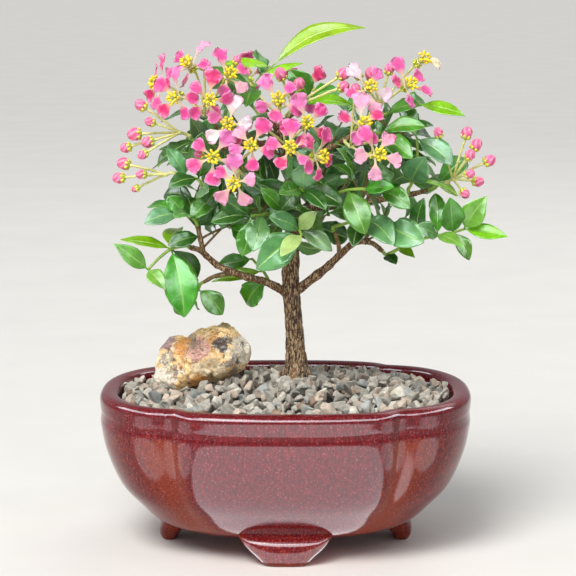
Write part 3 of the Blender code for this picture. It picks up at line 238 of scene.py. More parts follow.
# Leafy shoots: what each grows from and where along it (None is its tip), the shoot's own points,
# and its leaves (place along the shoot, tip, width, turn of the face up from the front, colour
# letter)
SHOOTS = {
    "left_low": ("left", None, ((-50, -12, 132.5), (-55, -14, 129), (-60, -16, 124)), (
        (2, (-72, -16, 137), 8, 50, "y"), (4, (-73, -21, 138), 10, 20, "l"),
        (4, (-52, -25, 117), 9, 20, "l"), (2, (-44, -22, 104), 15.5, 10, "g"),
        (2, (-38, -3, 118), 9, 20, "d"), (2, (-48, 12, 139), 11, 30, "y"))),
    "left_under": ("left_fork", None, ((-39, 4, 112), (-41, 7, 109)), (
        (2, (-28, 2, 101), 10, 10, "m"), (3, (-50, 8, 101), 10, 20, "m"),
        (3, (-42, 22, 104), 10, 20, "m"))),
    "trunk_left": ("left", 1, ((-10, 6, 120), (-15, 10, 125)), (
        (1, (-18, 9, 104), 11.5, 10, "g"), (2, (-33, 5, 116), 8, 30, "y"),
        (3, (-30, 6, 123), 8, 20, "m"))),
    "left_mid_leaves": ("left_rise", None, ((-41, -12, 146.5), (-45, -12, 148)), (
        (3, (-61, -20, 145), 9, 35, "b"), (3, (-61, 2, 150), 9, 60, "g"),
        (2, (-47, -30, 149), 9, 55, "b"), (3, (-51, -14, 156), 8, 20, "g"))),
    "left_high_leaves": ("left_mid", None, ((-36, -14, 159), (-38, -15, 163.5), (-47, -12, 165.5)), (
        (2, (-33, -30, 160), 11, 10, "b"), (3, (-50, -24, 162), 8, 40, "d"),
        (3, (-35, -27, 183), 13, 0, "d"), (3.6, (-51, -14, 177), 8, 30, "b"))),
    "upper_left_leaves": ("left_high", None, ((-37, -6, 179), (-41, -5, 181)), (
        (1.6, (-41, -16, 190), 8, 10, "b"), (2, (-32, -13, 190), 7, 10, "b"),
        (2.6, (-60, 5, 180), 9, 50, "y"), (2.4, (-58, -6, 174), 9, 55, "d"))),
    "front_left_leaves": ("front_low_left", None, ((-10, -19, 148.5), (-15, -23, 148.5)), (
        (2, (-14, -30, 134), 11, 5, "b"), (3, (-22, -28, 133), 10, 5, "g"),
        (3, (-32, -26, 146), 9, 40, "d"))),
    "front_low_leaves": ("front_low_right", None, ((6, -20, 142), (7, -26, 140.5)), (
        (3, (-12, -37, 128), 15, 5, "b"), (2, (-7, -30, 149), 9, 20, "b"),
        (2, (13, -29, 151), 7, 10, "v"), (3, (-2, -42, 134), 7, 20, "v"),
        (2, (20, -26, 134), 8, 10, "b"))),
    "front_mid_leaves": ("front_mid", None, ((6, -20, 160), (8, -27, 160)), (
        (3, (17, -41, 154), 8, 20, "d"), (2, (25, -28, 154), 11, 30, "d"),
        (3, (9, -31, 172), 12, 10, "b"), (2, (-2, -34, 160), 9, 20, "m"),
        (2, (-2, -22, 151), 9, 10, "d"))),
    "right_front_leaves": ("right_mid", 1.6, (
        (22, -16, 157), (27, -25, 160), (34, -30, 161), (40, -31, 160)), (
        (3, (34, -36, 143), 12, 5, "m"), (4, (46, -42, 163), 8, 30, "g"),
        (5, (40, -38, 171), 9, 10, "b"), (5, (53, -38, 154), 9, 20, "g"))),
    "right_centre_leaves": ("right_rise", None, ((24, -11, 143), (34, -16, 146), (44, -23, 145)), (
        (3, (46, -35, 138), 12, 10, "b"), (4, (59, -37, 139), 14, 10, "b"),
        (3, (29, -30, 136), 8, 20, "d"))),
    "far_right_leaves": ("right", None, (
        (50, -13, 133), (58, -15, 137), (66, -16, 139), (73, -13, 140), (78, -10, 141)), (
        (1, (48, -21, 127), 6, 20, "d"), (2, (56, -22, 130), 6, 30, "y"),
        (4, (57, -27, 145), 8, 30, "b"), (4, (76, -30, 136), 8, 30, "l"),
        (3, (61, -24, 154), 8, 30, "d"), (4, (66, -9, 157), 9, 20, "g"),
        (5, (71, -24, 156), 11, 5, "m"), (6, (87, -15, 156), 13, 10, "l"),
        (6, (97, -13, 138), 9, 25, "y"), (5, (80, -19, 129), 7, 10, "m"))),
    "right_edge_leaves": ("right_mid", 4, ((55, -13, 162), (57, -15, 172), (57, -14, 181)), (
        (2, (76, -18, 157), 9, 70, "y"), (2, (60, -28, 175), 13, 5, "b"),
        (4, (73, -22, 173), 11, 15, "b"), (4, (49, -6, 195), 9, 20, "g"))),
    "right_tip_leaves": ("right_mid", None, ((66, -8, 160), (69, -8, 161)), (
        (2, (85, 2, 171), 10, 25, "g"), (2, (76, 6, 154), 9, 40, "y"))),
    "upper_right_leaves": ("right_high", 3, ((38, -15, 184), (41, -20, 184)), (
        (3, (60, -24, 187), 8, 35, "g"), (3, (54, -33, 174), 10, 20, "m"))),
    "top_right_leaves": ("right_high", None, ((44, -9, 191.5), (51, -7, 194), (58, -6, 195)), (
        (2, (58, -16, 196), 8, 40, "g"), (4, (78, -10, 191), 9, 45, "y"),
        (3, (62, 10, 194), 9, 40, "m"))),
    "top_leaves": ("top_right", None, ((8, -6, 195), (10, -7, 197)), (
        (2, (30, -14, 196), 9, 50, "y"), (3, (-1, -12, 208), 11, 10, "g"),
        (3, (24, 3, 201), 9, 40, "g"))),
    "leader_leaves": ("trunk", None, ((-14, -1, 202), (-11, -1, 207), (-6, 0, 211)), (
        (2, (-36, -12, 211), 10, 50, "l"), (2, (-17, -17, 196), 10, 10, "m"),
        (2, (7, -10, 214), 9, 55, "y"), (4, (33, -6, 231), 12.5, 48, "y"),
        (4, (-28, -4, 212), 9, 55, "y"), (3, (-12, 15, 216), 9, 40, "g"))),
    "back_low_leaves": ("back_low", None, ((20, 40, 153), (26, 43, 156), (30, 48, 154)), ()),
    "back_left_leaves": ("back_left", None, ((-34, 36, 167), (-41, 34, 170), (-47, 36, 170)), ()),
    "back_right_leaves": ("back_right", None, ((33, 30, 178), (41, 27, 180), (50, 25, 182)), ()),
    "back_top_leaves": ("back_top", None, ((-14, 26, 191), (-18, 24, 196), (-14, 22, 202)), ()),
    "inner_left_leaves": ("left_high", 1.5, (
        (-23, 5, 176), (-29, 10, 175), (-37, 13, 172), (-44, 13, 169)), ()),
    "inner_right_leaves": ("right_mid", 3.3, (
        (45, -1, 160), (49, 6, 167), (48, 11, 175), (43, 13, 182)), ()),
}
# How many leaves fill the shoots of the crown's back and inside, and their lengths and widths
FILLED = {
    "back_low_leaves": 6, "back_left_leaves": 6, "back_right_leaves": 6, "back_top_leaves": 6,
    "inner_left_leaves": 10, "inner_right_leaves": 12,
}
FILL_LENGTH = (15.0, 21.0)
FILL_SHARE = 0.5
FILL_OUTWARD = 0.7
FILL_FLAT = 0.7
FILL_DROP = 0.1
FILL_TRIES = 14

# Umbels: what each grows from and where, where its stalk parts, and its buds (centre, size)
UMBELS = {
    "upper_left_stems": ("left_top", None, (-35, -9, 191), (
        ((-35, -12, 213), 1.0), ((-21, -12, 215), 0.8))),
    "left_stems": ("upper_left_leaves", None, (-46, -6, 183), (
        ((-63, -6, 195), 1.1), ((-59, -9, 188), 0.9), ((-66, -3, 182), 1.3), ((-60, -8, 179), 1.1),
        ((-70, -2, 176), 1.0), ((-62, -13, 174), 0.9))),
    "left_low_stems": ("left_high_leaves", None, (-52, -9, 165), (
        ((-71, -2, 169), 1.2), ((-73, -5, 163), 1.1), ((-63, -9, 165), 0.9), ((-66, -3, 158), 0.7))),
    "front_left_stems": ("left_mid", 1.8, (-22, -19, 170), (((-37, -30, 176), 0.8),)),
    "front_stems": ("front_high", None, (0, -19, 179), (((-10, -31, 188), 0.8),)),
    "right_front_stems": ("right_high", 2, (28, -17, 178), (
        ((30, -22, 203), 1.0), ((45, -34, 183), 0.9))),
    "top_stems": ("top_right", 1.4, (3, -10, 194), (
        ((-2, -15, 209), 1.2), ((6, -17, 205), 1.1), ((25, -14, 209), 1.2), ((25, -19, 204), 1.0))),
    "upper_right_stems": ("right_high", 3.6, (41, -8, 195), (
        ((37, -14, 209), 1.2), ((45, -10, 211), 1.0), ((31, -17, 209), 0.9))),
    "right_stems": ("right_tip_leaves", None, (73, -9, 163), (
        ((79, -8, 183), 1.1), ((83, -10, 178), 1.1), ((80, -14, 174), 1.0), ((89, -8, 171), 1.1),
        ((80, -16, 166), 0.9), ((84, -10, 162), 1.0), ((78, -13, 157), 0.9), ((66, -17, 184), 0.9))),
    "back_stems": ("back_top", 1.2, (-5, 19, 190), (((4, 26, 203), 1.0), ((-2, 36, 194), 0.9))),
}
# Blooms: umbel, centre, turn of the first petal, the way that it faces (None is outward from
# the crown) and the colour letters of its petals
BLOOMS = {
    "bloom_a": ("front_left_stems", (-24, -28, 188), 77, (-0.1, -1, 0.3), "wpwdw"),
    "bloom_b": ("front_left_stems", (-14, -36, 180), 60, (-0.2, -1, 0.2), "psmpp"),
    "bloom_e": ("front_left_stems", (-31, -33, 175), 200, (0.1, -1, 0.1), "ppmmp"),
    "bloom_f": ("front_left_stems", (-21, -39, 165), 10, None, "smpss"),
    "bloom_c": ("front_stems", (2, -42, 179), 95, (0, -0.9, 0.4), "ppdmd"),
    "bloom_d": ("front_stems", (-3, -25, 198), 120, None, "mmppp"),
    "bloom_g": ("front_stems", (9, -32, 189), 42, None, "pmppd"),
    "bloom_h": ("front_stems", (13, -42, 176), 330, (0.8, -0.55, 0.1), "dpdpp"),
    "bloom_i": ("right_front_stems", (32, -34, 189), 87, None, "sdmpd"),
    "bloom_j": ("right_front_stems", (38, -41, 177), 43, None, "spsss"),
    "bloom_k": ("upper_right_stems", (35, -22, 203), 106, (0.4, -0.8, 0.45), "wpswm"),
    "bloom_l": ("upper_right_stems", (52, -17, 204), 106, None, "pdppp"),
    "bloom_m": ("upper_right_stems", (58, -10, 214), 345, None, "ccccc"),
    "bloom_n": ("upper_left_stems", (-41, -11, 212), 72, (-0.5, -0.65, 0.6), "sppdp"),
    "bloom_o": ("upper_left_stems", (-54, -5, 204), 213, (-0.9, -0.5, 0.3), "dpdpp"),
    "bloom_p": ("upper_left_stems", (-46, -23, 200), 222, (-0.6, -1, -0.1), "dppmp"),
    "bloom_q": ("upper_left_stems", (-33, -30, 199), 217, (0.3, -1, 0.1), "pmpdp"),
    "bloom_r": ("upper_left_stems", (-25, -19, 208), 95, (0.4, -0.75, 0.55), "pmpsp"),
    "bloom_s": ("back_stems", (-17, 33, 204), 90, (-0.3, 0.8, 0.6), "ppmps"),
    "bloom_t": ("back_stems", (9, 33, 198), 54, (0.4, 1, 0.4), "pdpmp"),
}
# Radii of shoots and stalks, their clearance from a branch's tip and side as shares of the gap,
# and how far they grow straight out of it
SHOOT_RADIUS = 0.85
STALK_RADIUS = 0.55
TIP_CLEAR = 1.2
SIDE_CLEAR = 1.5
SEAT_REACH = 2
BUD_RADIUS = 2.2
CROWN_CENTRE = Vector((2, 4, 166))
# How near two points are that are the same corner of a solid
SAME_POINT = 0.06
# Colours that the letters of leaves and petals stand for, as their settings are named
LEAF_LETTERS = {
    "d": "deep", "m": "mid", "b": "blue", "g": "bright", "l": "light", "y": "lime", "v": "young",
}
PETAL_LETTERS = {"p": "pink", "d": "deep", "m": "mauve", "s": "pale", "w": "white", "c": "cream"}

# Leaf blades: thickness of the solids' blades, then fold and arch, rows along, columns across,
# stalk's share of the length and half its width, thickness as it shows, how much leaves differ,
# fullness and skew of the outline, and the letters of the young leaves with smooth margins,
# which are slimmer and less wavy
BLADE_THICKNESS = 0.7
BLADE_FOLD = 0.22
BLADE_ARCH = 0.09
LEAF_GRID = (13, 9)
LEAF_STALK = 0.07
LEAF_STALK_HALF = 0.4
LEAF_TIP_HALF = 0.1
LEAF_THICKNESS = 0.32
LEAF_SHADES = (0.85, 1.15)
LEAF_WAVE = (0.03, 0.11)
LEAF_BEATS = (1.6, 3.2)
LEAF_FOLDS = (0.5, 1.6)
LEAF_TWIST = 0.3
LEAF_CURVE = 0.06
LEAF_DROOP = (-0.03, 0.09)
SMOOTH_WAVE = 0.3
LEAF_OUTLINE = (0.74, 1.12)
SMOOTH_OUTLINE = (0.98, 0.86)
SMOOTH_LETTERS = "yl"
SMOOTH_WIDTH = 0.85

# Leafy side twigs that fill the crown between and behind the shoots: parent, and how many are
# tried; a branch whose surroundings leave them no room gets fewer or none
TWIGS = {
    "trunk": 8, "left": 4, "left_rise": 3, "left_mid": 9, "left_high": 7, "left_top": 3, "right": 4,
    "right_mid": 8, "right_high": 7, "front_mid": 2, "front_high": 2, "top_right": 3, "back_low": 6,
    "back_left": 7, "back_right": 7, "back_top": 6,
}
# Single leaves on the branches themselves, given as those of the shoots are
SIDE_LEAVES = {
    "left_rise": (
        (2, (-29, -17, 160), 9, 30, "d"), (2, (-27, -8, 146), 9, 30, "b"),
        (1.5, (-43, 0, 155), 9, 20, "d"), (1, (-51, -16, 135), 8, 20, "d")),
    "left_mid": (
        (2.6, (-26, -2, 144), 10, 15, "m"), (2.9, (-41, -20, 147), 9, 20, "m"),
        (2.2, (-28, -19, 143), 10, 20, "b")),
}
TWIG_NODES = (3, 5)
TWIG_STEP = (4.5, 7.0)
TWIG_RADIUS = 0.6
TWIG_OUTWARD = 0.6
TWIG_RISE = 0.12
TWIG_BEND = 0.3
TWIG_TRIES = 24
TWIG_LEAF = (14.0, 23.0)
TWIG_SHARE = (0.42, 0.56)
TWIG_LEAF_LEAN = 0.55
TWIG_LEAF_RISE = (-0.2, 0.25)
# Letters that the twig leaves draw from: mostly deep green, partly painted shade, and often blue green,
# a painted reflection of the sky
TWIG_LETTERS = "ddmmmbbg"
TWIG_SHADES = (0.75, 1.15)
TWIG_GRID = (10, 7)
TRUNK_TWIGS_FROM = 7.0
BRANCH_TWIGS_FROM = 0.7
# The crown's envelope, where the camera is, and how much room blooms, leaves and buds need
ENVELOPE_CENTRE = Vector((4, 3, 170))
ENVELOPE_HALF = Vector((73, 45, 40))
EYE = Vector((1.1, -1000, 273))
BLOOM_REACH = 12.0
LEAF_REACH = 7.0
BUD_REACH = 6.0

# Flowers: petals to a bloom, and the bloom that has shed all but one
PETALS = 5
SPENT_BLOOM = "bloom_m"
# Blooms face outward from this height, turned aside and up by their distance over a spread
BLOOM_HEIGHT = 178
BLOOM_SPREAD = (70, 60)
BLOOM_LIFT = 0.15
# Petals of the solids: rows of reach, width and height, their thickness, and the turns that
# cleared their neighbours
PETAL_ROWS = ((2.0, 1.3, 0.0), (7.4, 7.4, 1.7), (10.4, 4.8, 1.2))
PETAL_THICKNESS = 0.75
TWISTS = (0, 9, -9, 18, -18, 27, -27, 36)
# Petals as they show: how far out and half how wide, from the claw round the limb's end
PETAL_SPINE = (
    (1.0, 0.42), (3.0, 0.45), (4.4, 0.6), (5.4, 1.15), (6.4, 1.9), (7.6, 2.75), (8.8, 3.4), (9.8, 3.55),
    (10.7, 3.1), (11.3, 2.1), (11.6, 0.7),
)
PETAL_COLUMNS = 11
LIMB_FROM = 5.0
LIMB_OPENS = 3
LIMB_REACH = 6
LIMB_CENTRE = 8.3
LIMB_HALF = 3.9
FILM = 0.2
PETAL_SHADES = (0.92, 1.06)
PETAL_CUP = (-0.7, 1.9)
PETAL_TURN = 16
MOST_TURN = 38.0
UPPER_PETAL = 1.14
LOWER_PETAL = (0.86, 1.02)
PETAL_RUFFLE = (0.3, 0.65)
PETAL_CURL = (-1.0, 1.2)
# Middles of the flowers: stamens of two lengths, their roots' circle, and the parts' half sizes
STAMENS = 12
STAMEN_ROOT = 0.85
STAMEN_REACH = (1.7, 2.6)
STAMEN_HEIGHT = (4.5, 3.9)
FILAMENT_RADIUS = 0.2
ANTHER_HALVES = (0.68, 0.6, 1.1)
STYLES = 3
GLANDS = 6
GLAND_HALVES = (0.55, 0.68, 0.95)
GLAND_LEAN = math.radians(18)
SEPAL_HALVES = (0.35, 0.7, 1.3)
SEPAL_LEAN = math.radians(22)
# Stalks: half sizes of the knob where an umbel parts, how far behind its bloom a stalk straightens
# and ends, points along it, and place, reach and swelling of its joint
HUB_HALVES = (1.15, 1.15, 1.0)
BLOOM_BACK = 7
BLOOM_NECK = 2.4
STALK_POINTS = 12
JOINT_AT = 0.38
JOINT_HALF = 0.05
JOINT_SWELL = 0.3
# What the parts of an umbel are made of, in the order of its materials
STALK_KIND, CALYX_KIND, BUD_KIND, ANTHER_KIND = range(4)

# Stage, in metres: floor, surround, sun, and softboxes as place, target, width, height and power
FLOOR_HALF = 15.0
SKY_STRENGTH = 0.5
SENSOR = 36.0
SUN_FROM = Vector((-0.45, -0.75, 1.3))
SUN_STRENGTH = 2.0
SUN_ANGLE = math.radians(25)
SOFTBOXES = (
    ("key_softbox", (-0.35, -0.9, 1.0), (0, 0, 0.12), 0.9, 0.5, 9.0),
    ("back_softbox", (0.5, 0.9, 1.1), (0, 0, 0.12), 0.8, 0.8, 3.0),
)
# Lights that only mirrors show: strips for the lip's bright line, as place, target, width, height
# and power, and oval cards just above the floor round the pot's front
STRIP_TINT = (0.86, 0.92, 1.0)
STRIPS = (
    ("front_strip", (-0.1, -1.2, 1.0), (0, 0, 0.07), 3.0, 0.8, 136.0),
    ("left_strip", (-1.3, -0.1, 1.0), (0, 0, 0.07), 1.8, 0.5, 44.0),
    ("right_strip", (1.3, -0.1, 1.0), (0, 0, 0.07), 1.8, 0.5, 44.0),
)
CARD_HEIGHT = 0.002
CARD_TINT = (0.93, 0.94, 1.0)
CARDS = (
    ("front_card", 0, -0.2, 0, 0.25, 0.33, 0.98),
    ("left_card", -0.205, -0.125, 30, 0.25, 0.1, 0.16),
    ("right_card", 0.205, -0.125, -30, 0.25, 0.1, 0.16),
)


def linear(code):
    """An sRGB hex colour as linear channels."""
    channels = [int(code[index:index + 2], 16) / 255 for index in (0, 2, 4)]
    return tuple(c / 12.92 if c <= 0.04045 else ((c + 0.055) / 1.055) ** 2.4 for c in channels)


def colour(name, description, code):
    """A colour that a user may change."""
    return FloatVectorProperty(name=name, description=description, subtype="COLOR", min=0, max=1,
                               default=linear(code))


def length(name, description, millimetres):
    """A length that a user may change."""
    return FloatProperty(name=name, description=description, subtype="DISTANCE", unit="LENGTH",
                         min=0, default=millimetres * MM)


class BonsaiPotSettings(bpy.types.PropertyGroup):
    """Glaze of the pot."""

    glaze: colour("Glaze", "Oxblood glaze where it lies thick", "560912")
    flash: colour("Flash", "Brighter red in the fine runs", "8c1a20")
    rust: colour("Rust", "Rust brown where the glaze breaks over creases and edges", "822c0c")
    speck: colour("Speck", "Pale specks in the glaze", "b0656a")
    clay: colour("Clay", "Bare fired clay under the feet", "8a5a3c")
    speck_size: length("Speck size", "Width of the specks in the glaze", 0.75)


class BonsaiStoneSettings(bpy.types.PropertyGroup):
    """Gravel, rock and soil."""

    grey: colour("Grey chips", "Most of the crushed stone", "b7b1a4")
    warm: colour("Warm chips", "Pinkish beige chips among the grey", "c3b2a0")
    light: colour("Light chips", "The palest chips", "d3ccbd")
    blue: colour("Blue-grey chips", "Cooler chips", "a2a49f")
    brown: colour("Brown chips", "A few brown chips", "99816c")
    grit: colour("Grit", "Fine grit and soil between the chips", "2c2721")
    ochre: colour("Ochre", "Ground colour of the rock", "f0cb92")
    chalk: colour("Chalk", "Cream flecks in the rock", "f5ead2")
    iron: colour("Iron", "Rust flecks in the rock", "c8803c")
    vein: colour("Veins", "Dark seams of the rock", "4a3024")
    soil: colour("Soil", "Potting soil", "33261a")
    grain: length("Grain", "Width of the grain in the crushed stone", 0.45)


class BonsaiWoodSettings(bpy.types.PropertyGroup):
    """Bark of trunk, branches and twigs."""

    plate: colour("Plates", "Raised plates of the bark", "7c5a3d")
    fissure: colour("Fissures", "Dark fissures between the plates", "26160d")
    fleck: colour("Flecks", "Pale flecks of lichen and lenticels", "cfb48a")
    branch: colour("Branches", "Smoother red-brown bark of the branches", "4c2a1c")
    twig: colour("Twigs", "Thin green-brown wood", "7d6a3e")
    relief: length("Relief", "Depth of the fissures in the trunk", 0.55)


class BonsaiLeafSettings(bpy.types.PropertyGroup):
    """Leaves and their green shoots."""

    # Deep green is the darker green of old leaves, partly painted shade for leaves inside the crown
    deep: colour("Deep green", "Shaded old leaves", "30601a")
    mid: colour("Mid green", "Most leaves", "4a8424")
    # Blue green is a painted reflection of the sky on the leaves' own green
    blue: colour("Blue green", "Leaves that mirror the sky", "5e8e54")
    # Bright green is partly painted light, for glossy leaves that face the light
    bright: colour("Bright green", "Glossy leaves in the light", "43881a")
    light: colour("Light green", "Pale leaves", "68a238")
    lime: colour("Lime", "Youngest leaves", "7fb408")
    young: colour("Pale young leaves", "Small leaves with pale margins", "a9c878")
    vein: colour("Veins", "Midrib and side veins", "a9cf6e")
    shoot: colour("Shoots", "Green shoots", "8fae4a")


class BonsaiFlowerSettings(bpy.types.PropertyGroup):
    """Petals, stamens, buds and their stalks."""

    pink: colour("Pink", "Most petals", "df4d93")
    # Deep pink is a deeper pink, partly painted shade for petals in the crown's shadow
    deep: colour("Deep pink", "Petals in the crown's shade", "d43673")
    mauve: colour("Mauve pink", "Cooler petals", "de70ad")
    pale: colour("Pale pink", "Fading petals", "e8a0b8")
    white: colour("White", "Faded petals", "e2cbd7")
    margin: colour("Margins", "Pale edges of the petals", "eba6c8")
    cream: colour("Cream", "Claws of the petals, and the spent bloom", "ebdfb8")
    anther: colour("Anthers", "Yellow stamens", "f2dc36")
    calyx: colour("Calyx", "Yellow-green sepals and glands", "bdc54a")
    stalk: colour("Stalks", "Pale flower stalks", "d6d48c")
    bud: colour("Buds", "Rolled petals of the buds", "e0608e")
    streak: colour("Streaks", "Pale folds of the buds", "f5c2cf")


class BonsaiStageSettings(bpy.types.PropertyGroup):
    """Floor, light and camera."""

    floor: colour("Floor", "Plain pale floor", "d9d6d0")
    sky: colour("Surround", "Light from all round", "eef1f5")
    focal: FloatProperty(name="Focal length", description="Focal length of the camera in mm", min=1,
                         default=142.6)
    distance: length("Camera distance", "From the camera's plane to the middle of the pot", 1000)
    height: length("Camera height", "Of the camera above the floor", 273)
    pitch: FloatProperty(name="Pitch", description="How far the camera looks down", subtype="ANGLE",
                         default=math.radians(9.07))


def put(name, data, place=(0, 0, 0), turn=(0, 0, 0)):
    """Put an object into the scene at a place in metres, turned by angles."""
    thing = bpy.data.objects.new(name, data)
    thing.location = place
    thing.rotation_euler = turn
    bpy.context.scene.collection.objects.link(thing)
    return thing


class Shape:
    """A piece in the making: its points, its faces and what each point carries."""

    def __init__(self):
        self.points = []
        self.faces = []
        self.kinds = []
        self.marks = []
        self.tints = []
        self.flat = set()

    def add(self, points, faces, marks=None, tint=WHITE, kind=0, flat=()):
        """Add points with their marks, in one tint, and faces of one kind, some of them flat."""
        start = len(self.points)
        self.flat.update(len(self.faces) + index for index in flat)
        self.points.extend(points)
        self.faces.extend([tuple(index + start for index in face) for face in faces])
        self.kinds.extend([kind] * len(faces))
        self.marks.extend(marks or [(0, 0, 0)] * len(points))
        self.tints.extend([tint[:3]] * len(points))

    def add_rings(self, rings, marks=None, tint=WHITE, kind=0, looped=False, rims=()):
        """Add a skin over rings of points, looped back to the first ring or closed at its ends."""
        rows, sides = len(rings), len(rings[0])
        faces = []
        for row in range(rows if looped else rows - 1):
            here, there = row * sides, (row + 1) % rows * sides
            for side in range(sides):
                after = (side + 1) % sides
                faces.append((here + side, here + after, there + after, there + side))
        flat = [index for index in range(len(faces)) if index % sides in rims]
        if not looped:
            faces.append(tuple(reversed(range(sides))))
            faces.append(tuple(range((rows - 1) * sides, rows * sides)))
        self.add([point for ring in rings for point in ring], faces, marks, tint, kind, flat)

    def build(self, name, materials, replaced, smooth=True):
        """Make the piece, put it into the frame and let it stand for its solids."""
        mesh = bpy.data.meshes.new(name)
        mesh.from_pydata(self.points, [], self.faces)
        marks = mesh.attributes.new("marks", "FLOAT_VECTOR", "POINT")
        marks.data.foreach_set("vector", [part for mark in self.marks for part in mark])
        tints = mesh.attributes.new("tint", "FLOAT_COLOR", "POINT")
        tints.data.foreach_set("color", [part for tint in self.tints for part in (*tint, 1)])
        for material in materials:
            mesh.materials.append(material)
        mesh.polygons.foreach_set("material_index", self.kinds)
        rounded = [smooth and index not in self.flat for index in range(len(self.faces))]
        mesh.polygons.foreach_set("use_smooth", rounded)
        outward = bmesh.new()
        outward.from_mesh(mesh)
        bmesh.ops.recalc_face_normals(outward, faces=outward.faces)
        outward.to_mesh(mesh)
        outward.free()
        mesh.transform(TO_FRAME)
        piece = put(name, mesh)
        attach(piece, "root")
        if replaced:
            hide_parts(*replaced)


def shaded(tint, shade):
    """A tint made darker or lighter."""
    return tuple(min(1, part * shade) for part in tint[:3])


def varied(draw, tint, low, high):
    """A tint with each channel changed a little."""
    return tuple(min(1, part * draw.uniform(low, high)) for part in tint[:3])


def scatter(draw, reach):
    """A random step with each part up to a reach."""
    return Vector([draw.uniform(-reach, reach) for _ in range(3)])


def cluster(draw, spread):
    """A random step, more often short than long."""
    return Vector([draw.gauss(0, spread) for _ in range(3)])


def held(value):
    """A number held between 0 and 1."""
    return min(1.0, max(0.0, value))


def bell(away, reach):
    """The height of a smooth hump, 1 in its middle, at a distance from there."""
    return math.exp(-(away / reach) ** 2)


def both_sides(columns):
    """Round a sheet: whether a point lies on its underside, and how far across, -1 to 1."""
    for under in (0, 1):
        for step in range(columns):
            yield under, (2 * step / (columns - 1) - 1) * (-1 if under else 1)


def signed_power(value, power):
    """A number raised to a power, with its own sign."""
    return math.copysign(abs(value) ** power, value)


def spoke(angle):
    """The level way of length 1 at an angle."""
    return Vector((math.cos(angle), math.sin(angle), 0))


def between(a, b, c, d, t):
    """A number between b and c, on a smooth curve through four."""
    bend = 2 * b + (c - a) * t + (2 * a - 5 * b + 4 * c - d) * t * t
    return (bend + (3 * b - a - 3 * c + d) * t ** 3) / 2


def smooth_rows(rows, steps):
    """Rows of numbers with more rows between them, on a curve through all of them."""
    fine = []
    for index in range(len(rows) - 1):
        four = [rows[min(max(index + shift, 0), len(rows) - 1)] for shift in (-1, 0, 1, 2)]
        for step in range(steps):
            fine.append(tuple(between(*parts, step / steps) for parts in zip(*four)))
    fine.append(tuple(rows[-1]))
    return fine


def taper(points, first, last, steps):
    """Rows of a smooth stem through points, thinning from one radius to another."""
    count = len(points) - 1
    rows = [(*point, first + (last - first) * index / count) for index, point in enumerate(points)]
    return smooth_rows(rows, steps)


def add_tube(shape, rows, sides, tint=WHITE, kind=0, relief=None):
    """Add a closed tube through x, y, z and radius; relief gives its surface's height at a point."""
    points = [Vector(row[:3]) for row in rows]
    across = (points[1] - points[0]).normalized().orthogonal()
    rings = []
    marks = []
    for index, (centre, row) in enumerate(zip(points, rows)):
        way = (points[min(index + 1, len(points) - 1)] - points[max(index - 1, 0)]).normalized()
        across = (across - way * across.dot(way)).normalized()
        other = way.cross(across)
        ring = []
        for side in range(sides):
            angle = math.tau * side / sides
            point = centre + (across * math.cos(angle) + other * math.sin(angle)) * row[3]
            height = relief(point, row[3]) if relief else 0
            ring.append(point + (point - centre).normalized() * height)
            marks.append((index / len(rows), row[3], height))
        rings.append(ring)
    shape.add_rings(rings, marks, tint, kind)


BALLS = {}


def ball(detail):
    """Points and faces of a round ball of radius 1, made once for each detail."""
    if detail not in BALLS:
        made = bmesh.new()
        bmesh.ops.create_icosphere(made, subdivisions=detail, radius=1)
        BALLS[detail] = points_and_faces(made)
    return BALLS[detail]


def points_and_faces(made):
    """The points and faces of a bmesh, which is freed."""
    made.verts.index_update()
    points = [vert.co.copy() for vert in made.verts]
    faces = [tuple(vert.index for vert in face.verts) for face in made.faces]
    made.free()
    return points, faces


def add_ball(shape, place, halves, tint, kind=0, detail=2, swell=None):
    """Add an ellipsoid in a place given as a matrix; swell gives its radius in a direction."""
    points, faces = ball(detail)
    made = []
    marks = []
    for point in points:
        grown = point * (swell(point) if swell else 1)
        made.append(place @ Vector([part * half for part, half in zip(grown, halves)]))
        marks.append((math.atan2(point.y, point.x) / math.tau + 0.5, point.z, 0))
    shape.add(made, faces, marks, tint, kind)


def moved(x, y, z):
    """The matrix of a move."""
    return Matrix.Translation((x, y, z))


def turned(angle, axis):
    """The matrix of a turn round an axis."""
    return Matrix.Rotation(angle, 4, axis)


def pointing(centre, way):
    """A frame at a centre with its Z along a way."""
    return Matrix.Translation(centre) @ way.to_track_quat("Z", "X").to_matrix().to_4x4()


